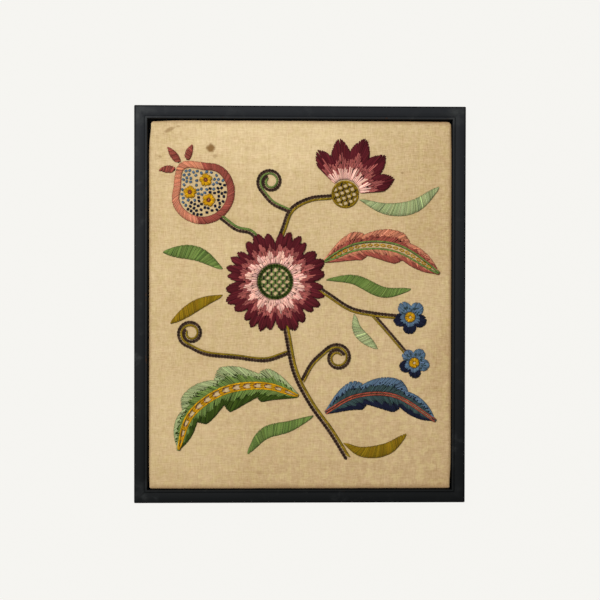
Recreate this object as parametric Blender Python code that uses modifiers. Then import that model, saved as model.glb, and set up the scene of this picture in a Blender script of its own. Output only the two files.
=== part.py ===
"""A crewel embroidery panel in a slim ebonised frame, lying on its back.

+Z is the way the picture faces, +Y is its top and +X its right. The origin is under the middle of the
panel, on the plane that the rails lie on. A linen ground is lapped over a stiff board, which drops from
the front into four mitred rails and rests on their ledge. The wool motifs stand on the linen as low
crowned pads. Sizes and places are in millimetres, and MM turns them into metres.
"""

import math
from collections import namedtuple

import bmesh
import bpy
import numpy as np

MM = 0.001

# Frame
FRAME_WIDTH = 318.0
FRAME_HEIGHT = 381.0
FRAME_DEPTH = 15.0
RAIL_WIDTH = 12.5
LEDGE_REACH = 20.5
LEDGE_THICKNESS = 4.1
FACE_WIDTH = 10.0
FACE_CROWN = 0.9
FACE_STEPS = 6
OUTER_EASE = 0.5
GROOVE_DEPTH = 1.7
BEAD_RADIUS = 1.0
BEAD_STEPS = 5
MITRE_GAP = 0.15

# Linen lapped over its board
SEAT_GAP = 0.3
LINEN_THICKNESS = 1.0
LINEN_FACE = 12.0
LINEN_TURN = 16.0
LINEN_EDGE_ROLL = 0.7
PANEL_GAP_LEFT = 1.2
PANEL_GAP_RIGHT = 1.0
PANEL_GAP_TOP = 1.5
PANEL_GAP_BOTTOM = 0.35
CORNER_RADIUS = 3.0
LEAST_CORNER_RADIUS = 0.6
CORNER_STEPS = 4
DRAW_REACH = 14.0
DRAW_STATIONS = (0.0, 8.0, 18.0, 34.0)
Corner = namedtuple("Corner", "way_x way_y drawn_x drawn_y")
CORNERS = (
    Corner(1, 1, 1.0, 1.2),
    Corner(-1, 1, 2.6, 1.2),
    Corner(-1, -1, 0.4, 0.1),
    Corner(1, -1, 1.5, 0.1),
)

# Sections of the stitched pads: share of the way across, and height over the gap to the linen
PAD_GAP = 0.3
TIP_WIDTH = 0.8
SATIN_SECTION = ((0.0, 0.45), (0.2, 1.0), (0.5, 1.2), (0.8, 1.0), (1.0, 0.45))
ONE_ROW_SECTION = ((0.0, 0.4), (0.3, 1.05), (0.7, 1.05), (1.0, 0.4))
TWO_ROWS_SECTION = (
    (0.0, 0.4),
    (0.14, 1.0),
    (0.3, 1.15),
    (0.46, 0.9),
    (0.54, 0.7),
    (0.66, 1.0),
    (0.82, 1.0),
    (1.0, 0.4),
)

# Finishes: red, green and blue as seen, 0 to 255, and roughness
Finish = namedtuple("Finish", "colour roughness")
FINISHES = {
    "ebonised_wood": Finish((38, 40, 44), 0.38),
    "board": Finish((196, 182, 150), 0.9),
    "linen": Finish((219, 197, 150), 0.95),
    "burgundy_wool": Finish((92, 30, 45), 0.9),
    "coral_wool": Finish((205, 120, 100), 0.9),
    "brick_wool": Finish((150, 74, 66), 0.9),
    "green_wool": Finish((104, 142, 84), 0.9),
    "dark_green_wool": Finish((60, 98, 40), 0.9),
    "light_green_wool": Finish((152, 178, 128), 0.9),
    "blue_wool": Finish((88, 116, 148), 0.9),
    "navy_wool": Finish((30, 36, 74), 0.9),
    "gold_wool": Finish((206, 160, 20), 0.9),
    "olive_wool": Finish((140, 122, 24), 0.9),
}

# Motifs: places in mm from the middle of the panel
STEM_STEPS = 5
Stem = namedtuple("Stem", "name width route")
STEMS = (
    Stem("main_stem", 6.8, ((46, -148), (30, -122), (10, -94), (-5, -64), (-12.6, -27.2))),
    Stem("fan_flower_stem", 5.8, ((-16.2, 72.4), (-8.5, 91), (9, 101), (28.6, 103.4))),
    Stem("fruit_stem", 5.8, ((-46.8, 69.8), (-61, 73), (-74.3, 82.7))),
    Stem("blue_flowers_stem", 5.4, ((25.9, 10.1), (48, -4), (70, -9), (89.3, -11.2))),
    Stem("low_blue_flower_stem", 4.6, ((74.8, -15.1), (87, -29), (99.7, -43.8))),
)

# Tendrils: a route, then a curl given by its centre, its radii, its first angle and its turns
TENDRIL_WIDTH = 4.4
TENDRIL_STEPS = 4
CURL_STEPS_PER_TURN = 18
Tendril = namedtuple("Tendril", "name route centre first_radius last_radius first_angle turns")
TENDRILS = (
    Tendril(
        "left_tendril",
        ((-14.3, -47), (-34, -53), (-62, -50), (-90, -47), (-108, -39)),
        (-105, -27.5),
        12.0,
        5.4,
        -105,
        -1.3,
    ),
    Tendril("top_tendril", ((-13.2, 91.2), (-27, 98), (-39, 112)), (-29, 118), 11.5, 5.2, 211, -1.25),
    Tendril("low_tendril", ((3.6, -70.6), (12, -56), (27, -42)), (36, -51), 12.5, 5.6, 135, -1.3),
)

# Lobed leaves: vein is half the bare strip down the middle
SPINE_STEPS = 12
LEAF_LEAN = 0.34
LOBE_PEAK = 0.76
LOBE_STATIONS = (0.0, 0.16, 0.36, 0.56, 0.76, 0.88)
LEAST_VEIN = 0.25
LobedLeaf = namedtuple("LobedLeaf", "name spine left_width right_width lobes depth vein left_wool right_wool")
LOBED_LEAVES = (
    LobedLeaf(
        "green_leaf",
        ((-1, -88), (-34, -78), (-74, -83), (-105, -106), (-117, -140)),
        22,
        22,
        4,
        0.44,
        2.3,
        "dark_green_wool",
        "light_green_wool",
    ),
    LobedLeaf(
        "blue_leaf",
        ((24, -104), (54, -88), (92, -88), (131, -112)),
        17,
        17,
        3,
        0.42,
        1.5,
        "blue_wool",
        "navy_wool",
    ),
    LobedLeaf(
        "rose_leaf",
        ((22.5, 41.5), (56, 56), (94, 54), (134, 30)),
        17,
        16,
        3,
        0.38,
        2.6,
        "coral_wool",
        "brick_wool",
    ),
)

SICKLE_STATIONS = (0.0, 0.06, 0.14, 0.24, 0.34, 0.44, 0.54, 0.64, 0.74, 0.84, 0.92, 0.97, 1.0)
SickleLeaf = namedtuple("SickleLeaf", "name wool width spine")
SICKLE_LEAVES = (
    SickleLeaf("left_upper_sickle", "green_wool", 14, ((-74.4, 34), (-100, 49), (-131, 50))),
    SickleLeaf("left_lower_sickle", "olive_wool", 11, ((-74.4, 9), (-98, 0), (-124, -18))),
    SickleLeaf("stem_left_sickle", "green_wool", 12, ((13, -107), (-10, -117), (-34, -124), (-50, -143))),
    SickleLeaf("stem_right_sickle", "olive_wool", 12, ((42, -133.2), (60, -142), (84, -139), (102, -125))),
    SickleLeaf("fan_low_sickle", "light_green_wool", 13, ((57, 101), (84, 92), (110, 95), (133, 113))),
    SickleLeaf("rim_right_sickle", "green_wool", 11, ((25, 24), (52, 24), (80, 12), (106, 15))),
    SickleLeaf("blue_stem_sickle", "light_green_wool", 10, ((52, -9), (56, -26), (74, -42))),
)

# Round flower: notched petals round a ring and a trellis
ROUND_CENTRE = (-24.0, 22.0)
ROUND_RADIUS = 51.0
ROUND_PETALS = 8
ROUND_STATIONS = 11
ROUND_PETAL_DEPTH = 0.24
ROUND_NOTCH_DEPTH = 0.06
ROUND_NOTCH_WIDTH = 0.1
PETAL_MARGIN = 0.013
ROUND_INNER = 17.6
RING_OUTER = 17.2
RING_INNER = 13.6
RING_STEPS = 32
TRELLIS_RADIUS = 13.2
TRELLIS_HEIGHT = 0.9

# Fan flower: pointed petals that open from a trellis cup
FAN_CENTRE = (43.0, 106.0)
FAN_HEADING = 70.0
FAN_STEP = 26.0
FAN_LENGTHS = (50.0, 54.0, 57.0, 54.0, 50.0)
FAN_INNER = 14.4
FAN_CUP_RADIUS = 13.6
FAN_STATIONS = 9
FAN_SIDE_GAP = 0.3
FAN_SHOULDER = 2.2
FAN_POINT = 0.75
ROUND_PAD_SEGMENTS = 28

# Seeded fruit: a band round bare ground, with a neck, a crown of three leaves and three florets
FRUIT_CENTRE = (-94.0, 108.0)
FRUIT_HEADING = 128.0
FRUIT_RADIUS = 31.0
FRUIT_BAND = 7.0
FRUIT_STATIONS = 44
NECK_RISE = 0.12
NECK_WIDTH = 0.3
SHOULDER_DIP = 0.1
SHOULDER_ANGLE = 0.75
SHOULDER_WIDTH = 0.4
CROWN_STATIONS = 7
CROWN_ROOT_GAP = 0.9
CROWN_SPREAD = 3.2
CROWN_WIDTH = 7.0
CROWN_ROOT_SHARE = 0.12
CrownLeaf = namedtuple("CrownLeaf", "lean length")
FRUIT_CROWN = (CrownLeaf(-13, 15.0), CrownLeaf(0, 18.0), CrownLeaf(13, 15.0))
Floret = namedtuple("Floret", "forward aside radius")
FLORETS = (Floret(-10.0, 0.0, 6.2), Floret(7.0, 9.6, 6.2), Floret(7.0, -9.6, 6.2))

# Small blue flowers: five petals round a gold centre
BlueFlower = namedtuple("BlueFlower", "name centre radius turn")
BLUE_FLOWERS = (
    BlueFlower("upper_blue_flower", (106, -12), 16.5, 15),
    BlueFlower("low_blue_flower", (110, -56), 15.0, 22),
)
BLUE_PETALS = 5
BLUE_STATIONS = 8
BLUE_PETAL_DEPTH = 0.44
BLUE_INNER = 5.4
BLUE_CENTRE_RADIUS = 4.8
DOME_HEIGHT = 1.3
DOME_SEGMENTS = 14
DOME_EASE = 0.6

# Swells along a share from 0 to 1: power of the share, power of the rise
LEAF_SWELL = (0.85, 0.8)
VEIN_SWELL = (1.0, 0.6)
SICKLE_SWELL = (1.15, 0.7)
ROUND_PETAL_SWELL = (1.0, 0.45)
BLUE_PETAL_SWELL = (1.0, 0.6)
CROWN_SWELL = (1.0, 0.8)
LOBE_RISE = 0.8
LOBE_FALL = 0.7

MERGE_DISTANCE = 0.00001
HARD_EDGE = 35.0
SOFT_EDGE = 60.0


def linear(value):
    """A colour value as seen, 0 to 255, as linear light."""
    share = value / 255
    return share / 12.92 if share <= 0.04045 else ((share + 0.055) / 1.055) ** 2.4


def material(name):
    """The named finish, made once."""
    if name in bpy.data.materials:
        return bpy.data.materials[name]
    made = bpy.data.materials.new(name)
    made.use_nodes = True
    shader = made.node_tree.nodes["Principled BSDF"]
    shader.inputs["Base Color"].default_value = (*(linear(value) for value in FINISHES[name].colour), 1.0)
    shader.inputs["Roughness"].default_value = FINISHES[name].roughness
    shader.inputs["Metallic"].default_value = 0.0
    return made


def finish(bm, name, finish_name, collection, edge_angle=HARD_EDGE):
    """A mesh object from bm, with its faces out, its doubles merged and its own material."""
    bmesh.ops.remove_doubles(bm, verts=bm.verts, dist=MERGE_DISTANCE)
    bmesh.ops.recalc_face_normals(bm, faces=bm.faces)
    mesh = bpy.data.meshes.new(name)
    bm.to_mesh(mesh)
    bm.free()
    mesh.shade_smooth()
    mesh.set_sharp_from_angle(angle=math.radians(edge_angle))
    mesh.materials.append(material(finish_name))
    made = bpy.data.objects.new(name, mesh)
    collection.objects.link(made)
    return made


def drawn_out(bm, face):
    """The vertices of the far end, after a face is drawn out into a bar."""
    drawn = bmesh.ops.extrude_face_region(bm, geom=[face])
    return [item for item in drawn["geom"] if isinstance(item, bmesh.types.BMVert)]


def rail_section():
    """The rail's section from its outer back edge: distance inwards and height."""
    face_edge = FRAME_DEPTH - FACE_CROWN
    bead_height = FRAME_DEPTH - GROOVE_DEPTH
    points = [(0, 0), (LEDGE_REACH, 0), (LEDGE_REACH, LEDGE_THICKNESS), (RAIL_WIDTH, LEDGE_THICKNESS)]
    for step in range(BEAD_STEPS + 1):
        angle = math.pi * step / BEAD_STEPS
        across = RAIL_WIDTH - BEAD_RADIUS * (1 - math.cos(angle))
        points.append((across, bead_height + BEAD_RADIUS * math.sin(angle)))
    points.append((FACE_WIDTH, bead_height))
    for step in range(FACE_STEPS + 1):
        share = 1 - step / FACE_STEPS
        across = OUTER_EASE + (FACE_WIDTH - OUTER_EASE) * share
        points.append((across, face_edge + FACE_CROWN * 4 * share * (1 - share)))
    points.append((0, face_edge - OUTER_EASE))
    return points


def mitred_rail(name, length, turn, place, collection):
    """One rail: its section drawn out along X, with each end sheared to the mitre."""
    bm = bmesh.new()
    end = bm.faces.new([bm.verts.new((0, across, height)) for across, height in rail_section()])
    far = set(drawn_out(bm, end))
    for vertex in bm.verts:
        side = 1 if vertex in far else -1
        vertex.co.x = side * (length / 2 - vertex.co.y - MITRE_GAP)
        vertex.co *= MM
    made = finish(bm, name, "ebonised_wood", collection)
    made.location = (place[0] * MM, place[1] * MM, 0)
    made.rotation_euler = (0, 0, math.radians(turn))
    return made


def frame_rails(collection):
    """The four rails, each with its inner side turned to the middle."""
    mitred_rail("frame_rail_bottom", FRAME_WIDTH, 0, (0, -FRAME_HEIGHT / 2), collection)
    mitred_rail("frame_rail_right", FRAME_HEIGHT, 90, (FRAME_WIDTH / 2, 0), collection)
    mitred_rail("frame_rail_top", FRAME_WIDTH, 180, (0, FRAME_HEIGHT / 2), collection)
    mitred_rail("frame_rail_left", FRAME_HEIGHT, -90, (-FRAME_WIDTH / 2, 0), collection)


def lapped_corner(corner, reach_x, reach_y, radius):
    """One corner of the lapped outline, from its upright side to its level one."""
    upright = []
    level = []
    for along in DRAW_STATIONS:
        fade = math.exp(-((along / DRAW_REACH) ** 2))
        upright.append((reach_x - corner.drawn_x * fade, reach_y - corner.drawn_y - radius - along))
        level.append((reach_x - corner.drawn_x - radius - along, reach_y - corner.drawn_y * fade))
    arc = []
    for step in range(1, CORNER_STEPS):
        angle = math.pi / 2 * step / CORNER_STEPS
        arc.append((level[0][0] + radius * math.cos(angle), upright[0][1] + radius * math.sin(angle)))
    return upright[::-1] + arc + level


def lapped_outline(inset):
    """The outline of the lapped linen, inset all round: its sides draw in towards rounded corners."""
    opening_x = FRAME_WIDTH / 2 - RAIL_WIDTH - inset
    opening_y = FRAME_HEIGHT / 2 - RAIL_WIDTH - inset
    radius = max(CORNER_RADIUS - inset, LEAST_CORNER_RADIUS)
    outline = []
    for corner in CORNERS:
        reach_x = opening_x - (PANEL_GAP_RIGHT if corner.way_x > 0 else PANEL_GAP_LEFT)
        reach_y = opening_y - (PANEL_GAP_TOP if corner.way_y > 0 else PANEL_GAP_BOTTOM)
        points = lapped_corner(corner, reach_x, reach_y, radius)
        if corner.way_x * corner.way_y < 0:
            points = points[::-1]
        outline += [(corner.way_x * x, corner.way_y * y) for x, y in points]
    return outline


def linen_ground(collection):
    """The linen in one piece: its face, its lapped sides and the margin turned under the board."""
    underside = LEDGE_THICKNESS + SEAT_GAP
    rings = (
        (LINEN_EDGE_ROLL, LINEN_FACE),
        (0.0, LINEN_FACE - LINEN_EDGE_ROLL),
        (0.0, underside + LINEN_EDGE_ROLL),
        (LINEN_EDGE_ROLL, underside),
        (LINEN_TURN, underside),
    )
    bm = bmesh.new()
    loops = []
    for inset, height in rings:
        loops.append([bm.verts.new((x * MM, y * MM, height * MM)) for x, y in lapped_outline(inset)])
    bm.faces.new(loops[0])
    for upper, lower in zip(loops, loops[1:]):
        for index, vertex in enumerate(upper):
            bm.faces.new((upper[index - 1], lower[index - 1], lower[index], vertex))
    linen = finish(bm, "linen_ground", "linen", collection)
    thickness = linen.modifiers.new("thickness", "SOLIDIFY")
    thickness.thickness = LINEN_THICKNESS * MM
    thickness.offset = -1.0
    thickness.use_even_offset = True
    return linen


def mount_board(collection):
    """The stiff board inside the linen: its flat outline raised to its thickness."""
    low = LEDGE_THICKNESS + 2 * SEAT_GAP + LINEN_THICKNESS
    high = LINEN_FACE - LINEN_THICKNESS - SEAT_GAP
    bm = bmesh.new()
    outline = lapped_outline(LINEN_THICKNESS + SEAT_GAP)
    face = bm.faces.new([bm.verts.new((x * MM, y * MM, low * MM)) for x, y in outline])
    bmesh.ops.translate(bm, verts=drawn_out(bm, face), vec=(0, 0, (high - low) * MM))
    return finish(bm, "mount_board", "board", collection)


def smooth_line(points, per_span):
    """A smooth curve through the points, with per_span steps between each two of them."""
    given = np.array(points, float)
    ends = np.vstack([2 * given[0] - given[1], given, 2 * given[-1] - given[-2]])
    line = []
    for a, b, c, d in zip(ends, ends[1:], ends[2:], ends[3:]):
        for t in np.arange(per_span) / per_span:
            bend = (2 * a - 5 * b + 4 * c - d) * t**2 + (3 * b - a - 3 * c + d) * t**3
            line.append(0.5 * (2 * b + (c - a) * t + bend))
    line.append(given[-1])
    return np.array(line)


def at_shares(line, shares):
    """The points that lie the given shares of the way along a line."""
    steps = np.linalg.norm(np.diff(line, axis=0), axis=1)
    along = np.concatenate([[0], np.cumsum(steps)])
    wanted = np.array(shares) * along[-1]
    return np.stack([np.interp(wanted, along, line[:, axis]) for axis in range(2)], axis=1)


def directions(line):
    """The unit way along a line at each of its points, and the way to its left."""
    way = np.gradient(line, axis=0)
    way /= np.linalg.norm(way, axis=1)[:, None]
    return way, np.stack([-way[:, 1], way[:, 0]], axis=1)


def beside(line, half_widths):
    """The two edges that lie half a width to the left and to the right of a line."""
    _, left = directions(line)
    half_widths = np.broadcast_to(half_widths, len(line))[:, None]
    return line + left * half_widths, line - left * half_widths


def polar(centre, radius, angle):
    """The point at a radius and an angle in radians from a centre."""
    return np.array(centre) + radius * np.array([math.cos(angle), math.sin(angle)])


def swell(share, powers):
    """A rise from 0 and a fall back to 0 along a share from 0 to 1."""
    return abs(math.sin(math.pi * share ** powers[0])) ** powers[1]


def bell(distance, width):
    """A soft peak of 1 where the distance is 0."""
    return math.exp(-((distance / width) ** 2))


def stitched_pad(name, wool, edges, section, collection, closed=False):
    """A low pad of stitching: a loft of one section, stretched between two edges from end to end."""
    base = LINEN_FACE + PAD_GAP
    bm = bmesh.new()
    loops = []
    for a, b in zip(*edges):
        points = [(*(a + (b - a) * share), base + height) for share, height in section]
        points += [(*b, base), (*a, base)]
        loops.append([bm.verts.new([value * MM for value in point]) for point in points])
    pairs = list(zip(loops, loops[1:]))
    if closed:
        pairs.append((loops[-1], loops[0]))
    else:
        bm.faces.new(loops[0])
        bm.faces.new(loops[-1])
    for near, far in pairs:
        for index, vertex in enumerate(near):
            bm.faces.new((near[index - 1], far[index - 1], far[index], vertex))
    return finish(bm, name, wool, collection, SOFT_EDGE)


def round_pad(name, wool, centre, radius, height, collection, segments=DOME_SEGMENTS):
    """A low round pad: a capped cylinder whose upper rim is bevelled."""
    bm = bmesh.new()
    bmesh.ops.create_cone(
        bm,
        cap_ends=True,
        segments=segments,
        radius1=radius * MM,
        radius2=radius * MM,
        depth=height * MM,
    )
    rim = [edge for edge in bm.edges if all(vertex.co.z > 0 for vertex in edge.verts)]
    bmesh.ops.bevel(bm, geom=rim, offset=DOME_EASE * height * MM, segments=2, profile=0.5, affect="EDGES")
    middle = (LINEN_FACE + PAD_GAP + height / 2) * MM
    bmesh.ops.translate(bm, verts=bm.verts, vec=(centre[0] * MM, centre[1] * MM, middle))
    return finish(bm, name, wool, collection)


def stems(collection):
    """Each stem as two rows of stitching side by side."""
    for stem in STEMS:
        edges = beside(smooth_line(stem.route, STEM_STEPS), stem.width / 2)
        stitched_pad(stem.name, "olive_wool", edges, TWO_ROWS_SECTION, collection)


def tendrils(collection):
    """Each tendril as one row that ends in a curl."""
    for tendril in TENDRILS:
        curl = []
        for share in np.linspace(0, 1, round(abs(tendril.turns) * CURL_STEPS_PER_TURN) + 1)[1:]:
            radius = tendril.first_radius + (tendril.last_radius - tendril.first_radius) * share
            angle = math.radians(tendril.first_angle) + tendril.turns * 2 * math.pi * share
            curl.append(polar(tendril.centre, radius, angle))
        line = np.vstack([smooth_line(tendril.route, TENDRIL_STEPS), curl])
        edges = beside(line, TENDRIL_WIDTH / 2)
        stitched_pad(tendril.name, "olive_wool", edges, ONE_ROW_SECTION, collection)


def leaf_reach(share, width, lobes, depth):
    """How far a lobed leaf reaches from its spine at a share of its length."""
    within = share * lobes % 1.0
    if within < LOBE_PEAK:
        rise = math.sin(math.pi / 2 * within / LOBE_PEAK) ** LOBE_RISE
    else:
        rise = ((1 - within) / (1 - LOBE_PEAK)) ** LOBE_FALL
    return width * swell(share, LEAF_SWELL) * (1 - depth * (1 - rise))


def leaf_half(leaf, way, width):
    """The outer and inner edges of one half of a lobed leaf: way is 1 to its left and -1 to its right."""
    shares = [(lobe + station) / leaf.lobes for lobe in range(leaf.lobes) for station in LOBE_STATIONS]
    shares.append(1.0)
    line = at_shares(smooth_line(leaf.spine, SPINE_STEPS), shares)
    along, left = directions(line)
    outer = []
    inner = []
    for share, point, forward, outwards in zip(shares, line, along, left * way):
        reach = leaf_reach(share, width, leaf.lobes, leaf.depth)
        vein = LEAST_VEIN + leaf.vein * swell(share, VEIN_SWELL)
        start = point + outwards * vein
        inner.append(start)
        outer.append(start + outwards * max(reach - vein, TIP_WIDTH) + forward * LEAF_LEAN * reach)
    return outer, inner


def lobed_leaves(collection):
    """Each lobed leaf as two halves with a bare vein between them."""
    for leaf in LOBED_LEAVES:
        left = leaf_half(leaf, 1, leaf.left_width)
        right = leaf_half(leaf, -1, leaf.right_width)
        stitched_pad(f"{leaf.name}_left", leaf.left_wool, left, SATIN_SECTION, collection)
        stitched_pad(f"{leaf.name}_right", leaf.right_wool, right, SATIN_SECTION, collection)


def sickle_leaves(collection):
    """Each sickle leaf as one pad, widest past its middle."""
    for leaf in SICKLE_LEAVES:
        line = at_shares(smooth_line(leaf.spine, SPINE_STEPS), SICKLE_STATIONS)
        half = [max(leaf.width / 2 * swell(share, SICKLE_SWELL), TIP_WIDTH / 2) for share in SICKLE_STATIONS]
        stitched_pad(leaf.name, leaf.wool, beside(line, half), SATIN_SECTION, collection)


def circle(centre, radius, steps):
    """The points of a circle."""
    return [polar(centre, radius, 2 * math.pi * step / steps) for step in range(steps)]


def round_petal_reach(share):
    """How far a petal of the round flower reaches at a share of its width: rounded, with a notch."""
    rise = ROUND_PETAL_DEPTH * (swell(share, ROUND_PETAL_SWELL) - 1)
    notch = ROUND_NOTCH_DEPTH * bell(share - 0.5, ROUND_NOTCH_WIDTH)
    return ROUND_RADIUS * (1 + rise - notch)


def round_flower(collection):
    """Notched petals round a ring and a trellis centre."""
    step = 2 * math.pi / ROUND_PETALS
    for petal in range(ROUND_PETALS):
        outer = []
        inner = []
        for share in np.linspace(PETAL_MARGIN, 1 - PETAL_MARGIN, ROUND_STATIONS):
            angle = step * (petal + share)
            outer.append(polar(ROUND_CENTRE, round_petal_reach(share), angle))
            inner.append(polar(ROUND_CENTRE, ROUND_INNER, angle))
        name = f"round_flower_petal_{petal + 1}"
        stitched_pad(name, "burgundy_wool", (outer, inner), SATIN_SECTION, collection)
    ring = circle(ROUND_CENTRE, RING_OUTER, RING_STEPS), circle(ROUND_CENTRE, RING_INNER, RING_STEPS)
    stitched_pad("round_flower_ring", "dark_green_wool", ring, ONE_ROW_SECTION, collection, closed=True)
    trellis = ("round_flower_trellis", "light_green_wool", ROUND_CENTRE, TRELLIS_RADIUS, TRELLIS_HEIGHT)
    round_pad(*trellis, collection, ROUND_PAD_SEGMENTS)


def fan_petal(heading, length):
    """The two edges of one pointed petal, which fills its share of the fan and then closes."""
    along = polar((0, 0), 1, heading)
    across = np.array([-along[1], along[0]])
    edges = ([], [])
    for share in np.linspace(0, 1, FAN_STATIONS):
        reach = FAN_INNER + (length - FAN_INNER) * share
        room = reach * math.tan(math.radians(FAN_STEP / 2)) - FAN_SIDE_GAP
        half = max(min(room, room * FAN_SHOULDER * (1 - share) ** FAN_POINT), TIP_WIDTH / 2)
        for edge, way in zip(edges, (1, -1)):
            edge.append(np.array(FAN_CENTRE) + along * reach + across * half * way)
    return edges


def fan_flower(collection):
    """Pointed petals that open from a trellis cup."""
    first = FAN_HEADING - FAN_STEP * (len(FAN_LENGTHS) - 1) / 2
    for petal, length in enumerate(FAN_LENGTHS):
        edges = fan_petal(math.radians(first + FAN_STEP * petal), length)
        stitched_pad(f"fan_flower_petal_{petal + 1}", "burgundy_wool", edges, SATIN_SECTION, collection)
    cup = ("fan_flower_cup", "gold_wool", FAN_CENTRE, FAN_CUP_RADIUS, DOME_HEIGHT)
    round_pad(*cup, collection, ROUND_PAD_SEGMENTS)


def fruit_reach(angle):
    """How far the fruit reaches at an angle from its heading: a round body with a neck under its crown."""
    neck = NECK_RISE * bell(angle, NECK_WIDTH)
    shoulder = SHOULDER_DIP * bell(abs(angle) - SHOULDER_ANGLE, SHOULDER_WIDTH)
    return FRUIT_RADIUS * (1 + neck - shoulder)


def crown_leaf_edges(leaf, heading):
    """The two edges of one pointed leaf of the fruit's crown."""
    lean = math.radians(leaf.lean)
    root = polar(FRUIT_CENTRE, fruit_reach(lean) + CROWN_ROOT_GAP, heading + lean)
    way = heading + lean * CROWN_SPREAD
    line = []
    half = []
    for share in np.linspace(0, 1, CROWN_STATIONS):
        line.append(polar(root, leaf.length * share, way + lean * share))
        width = CROWN_WIDTH * swell(CROWN_ROOT_SHARE + (1 - CROWN_ROOT_SHARE) * share, CROWN_SWELL)
        half.append(max(width, TIP_WIDTH) / 2)
    return beside(np.array(line), half)


def seeded_fruit(collection):
    """A closed band, the crown at its far end and three florets inside it."""
    heading = math.radians(FRUIT_HEADING)
    outer = []
    inner = []
    for index in range(FRUIT_STATIONS):
        angle = 2 * math.pi * index / FRUIT_STATIONS - math.pi
        outer.append(polar(FRUIT_CENTRE, fruit_reach(angle), heading + angle))
        inner.append(polar(FRUIT_CENTRE, fruit_reach(angle) - FRUIT_BAND, heading + angle))
    stitched_pad("fruit_band", "coral_wool", (outer, inner), SATIN_SECTION, collection, closed=True)
    for index, leaf in enumerate(FRUIT_CROWN):
        edges = crown_leaf_edges(leaf, heading)
        stitched_pad(f"fruit_crown_{index + 1}", "brick_wool", edges, SATIN_SECTION, collection)
    for index, floret in enumerate(FLORETS):
        centre = polar(polar(FRUIT_CENTRE, floret.forward, heading), floret.aside, heading + math.pi / 2)
        round_pad(f"fruit_floret_{index + 1}", "gold_wool", centre, floret.radius, DOME_HEIGHT, collection)


def blue_flowers(collection):
    """Each small flower as one pad of five petals round a gold centre."""
    for flower in BLUE_FLOWERS:
        outer = []
        inner = []
        for index in range(BLUE_PETALS * BLUE_STATIONS):
            angle = 2 * math.pi * index / (BLUE_PETALS * BLUE_STATIONS) + math.radians(flower.turn)
            rise = swell(index % BLUE_STATIONS / BLUE_STATIONS, BLUE_PETAL_SWELL)
            reach = flower.radius * (1 - BLUE_PETAL_DEPTH * (1 - rise))
            outer.append(polar(flower.centre, reach, angle))
            inner.append(polar(flower.centre, BLUE_INNER, angle))
        edges = (outer, inner)
        stitched_pad(f"{flower.name}_petals", "blue_wool", edges, SATIN_SECTION, collection, closed=True)
        centre = (f"{flower.name}_centre", "gold_wool", flower.centre, BLUE_CENTRE_RADIUS, DOME_HEIGHT)
        round_pad(*centre, collection)


def main():
    """The whole panel, in a collection of its own."""
    for thing in list(bpy.data.objects):
        bpy.data.objects.remove(thing, do_unlink=True)
    panel = bpy.data.collections.new("crewel_embroidery_panel")
    bpy.context.scene.collection.children.link(panel)
    frame_rails(panel)
    mount_board(panel)
    linen_ground(panel)
    stems(panel)
    tendrils(panel)
    lobed_leaves(panel)
    sickle_leaves(panel)
    round_flower(panel)
    fan_flower(panel)
    seeded_fruit(panel)
    blue_flowers(panel)


main()
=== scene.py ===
"""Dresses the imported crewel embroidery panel: wool stitches, linen, board, ebonised frame and a plain studio.

The panel lies on its back, as in the CAD: +Z is the way the picture faces, +Y its top and +X its right.
Sizes and places are in millimetres until a mesh is made, where MM turns them into metres.
"""

import json
import logging
import math
from collections.abc import Callable, Iterable, Sequence
from dataclasses import dataclass, field
from enum import Enum
from typing import Any

import bpy
import numpy as np
from mathutils import Euler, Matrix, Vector


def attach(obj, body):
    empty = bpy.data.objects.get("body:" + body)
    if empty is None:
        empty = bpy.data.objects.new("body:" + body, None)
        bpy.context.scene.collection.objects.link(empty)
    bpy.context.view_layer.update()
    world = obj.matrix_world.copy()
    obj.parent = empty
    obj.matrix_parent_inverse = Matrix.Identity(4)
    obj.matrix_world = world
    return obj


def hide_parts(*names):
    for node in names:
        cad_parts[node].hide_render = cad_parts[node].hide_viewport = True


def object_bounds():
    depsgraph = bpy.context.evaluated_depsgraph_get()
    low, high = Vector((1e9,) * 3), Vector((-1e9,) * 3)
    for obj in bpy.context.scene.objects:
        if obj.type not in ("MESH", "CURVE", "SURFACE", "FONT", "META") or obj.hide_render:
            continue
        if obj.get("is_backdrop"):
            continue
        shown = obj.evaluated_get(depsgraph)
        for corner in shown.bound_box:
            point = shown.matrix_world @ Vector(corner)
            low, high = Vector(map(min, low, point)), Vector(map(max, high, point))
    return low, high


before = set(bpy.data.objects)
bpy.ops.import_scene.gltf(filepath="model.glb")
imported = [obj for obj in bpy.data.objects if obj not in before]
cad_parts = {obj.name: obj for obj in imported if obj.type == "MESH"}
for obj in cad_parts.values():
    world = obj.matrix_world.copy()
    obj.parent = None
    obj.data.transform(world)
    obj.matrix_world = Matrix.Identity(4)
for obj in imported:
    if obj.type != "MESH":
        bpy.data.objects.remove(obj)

LOG = logging.getLogger("crewel_panel")
MM = 0.001
BODY = "root"
LINEN_FACE = 12.0

Point = tuple[float, float]
Place = tuple[float, float, float]
Colour = tuple[float, float, float]
Reach = float | np.ndarray


def linear(seen: Iterable[float]) -> tuple[float, ...]:
    """A colour as seen, 0 to 255, as linear light."""
    shares = [value / 255 for value in seen]
    return tuple(share / 12.92 if share <= 0.04045 else ((share + 0.055) / 1.055) ** 2.4 for share in shares)


def rgba(seen: Iterable[float]) -> tuple[float, ...]:
    """A colour as seen, 0 to 255, as a socket's linear colour."""
    return (*linear(seen), 1.0)


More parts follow.
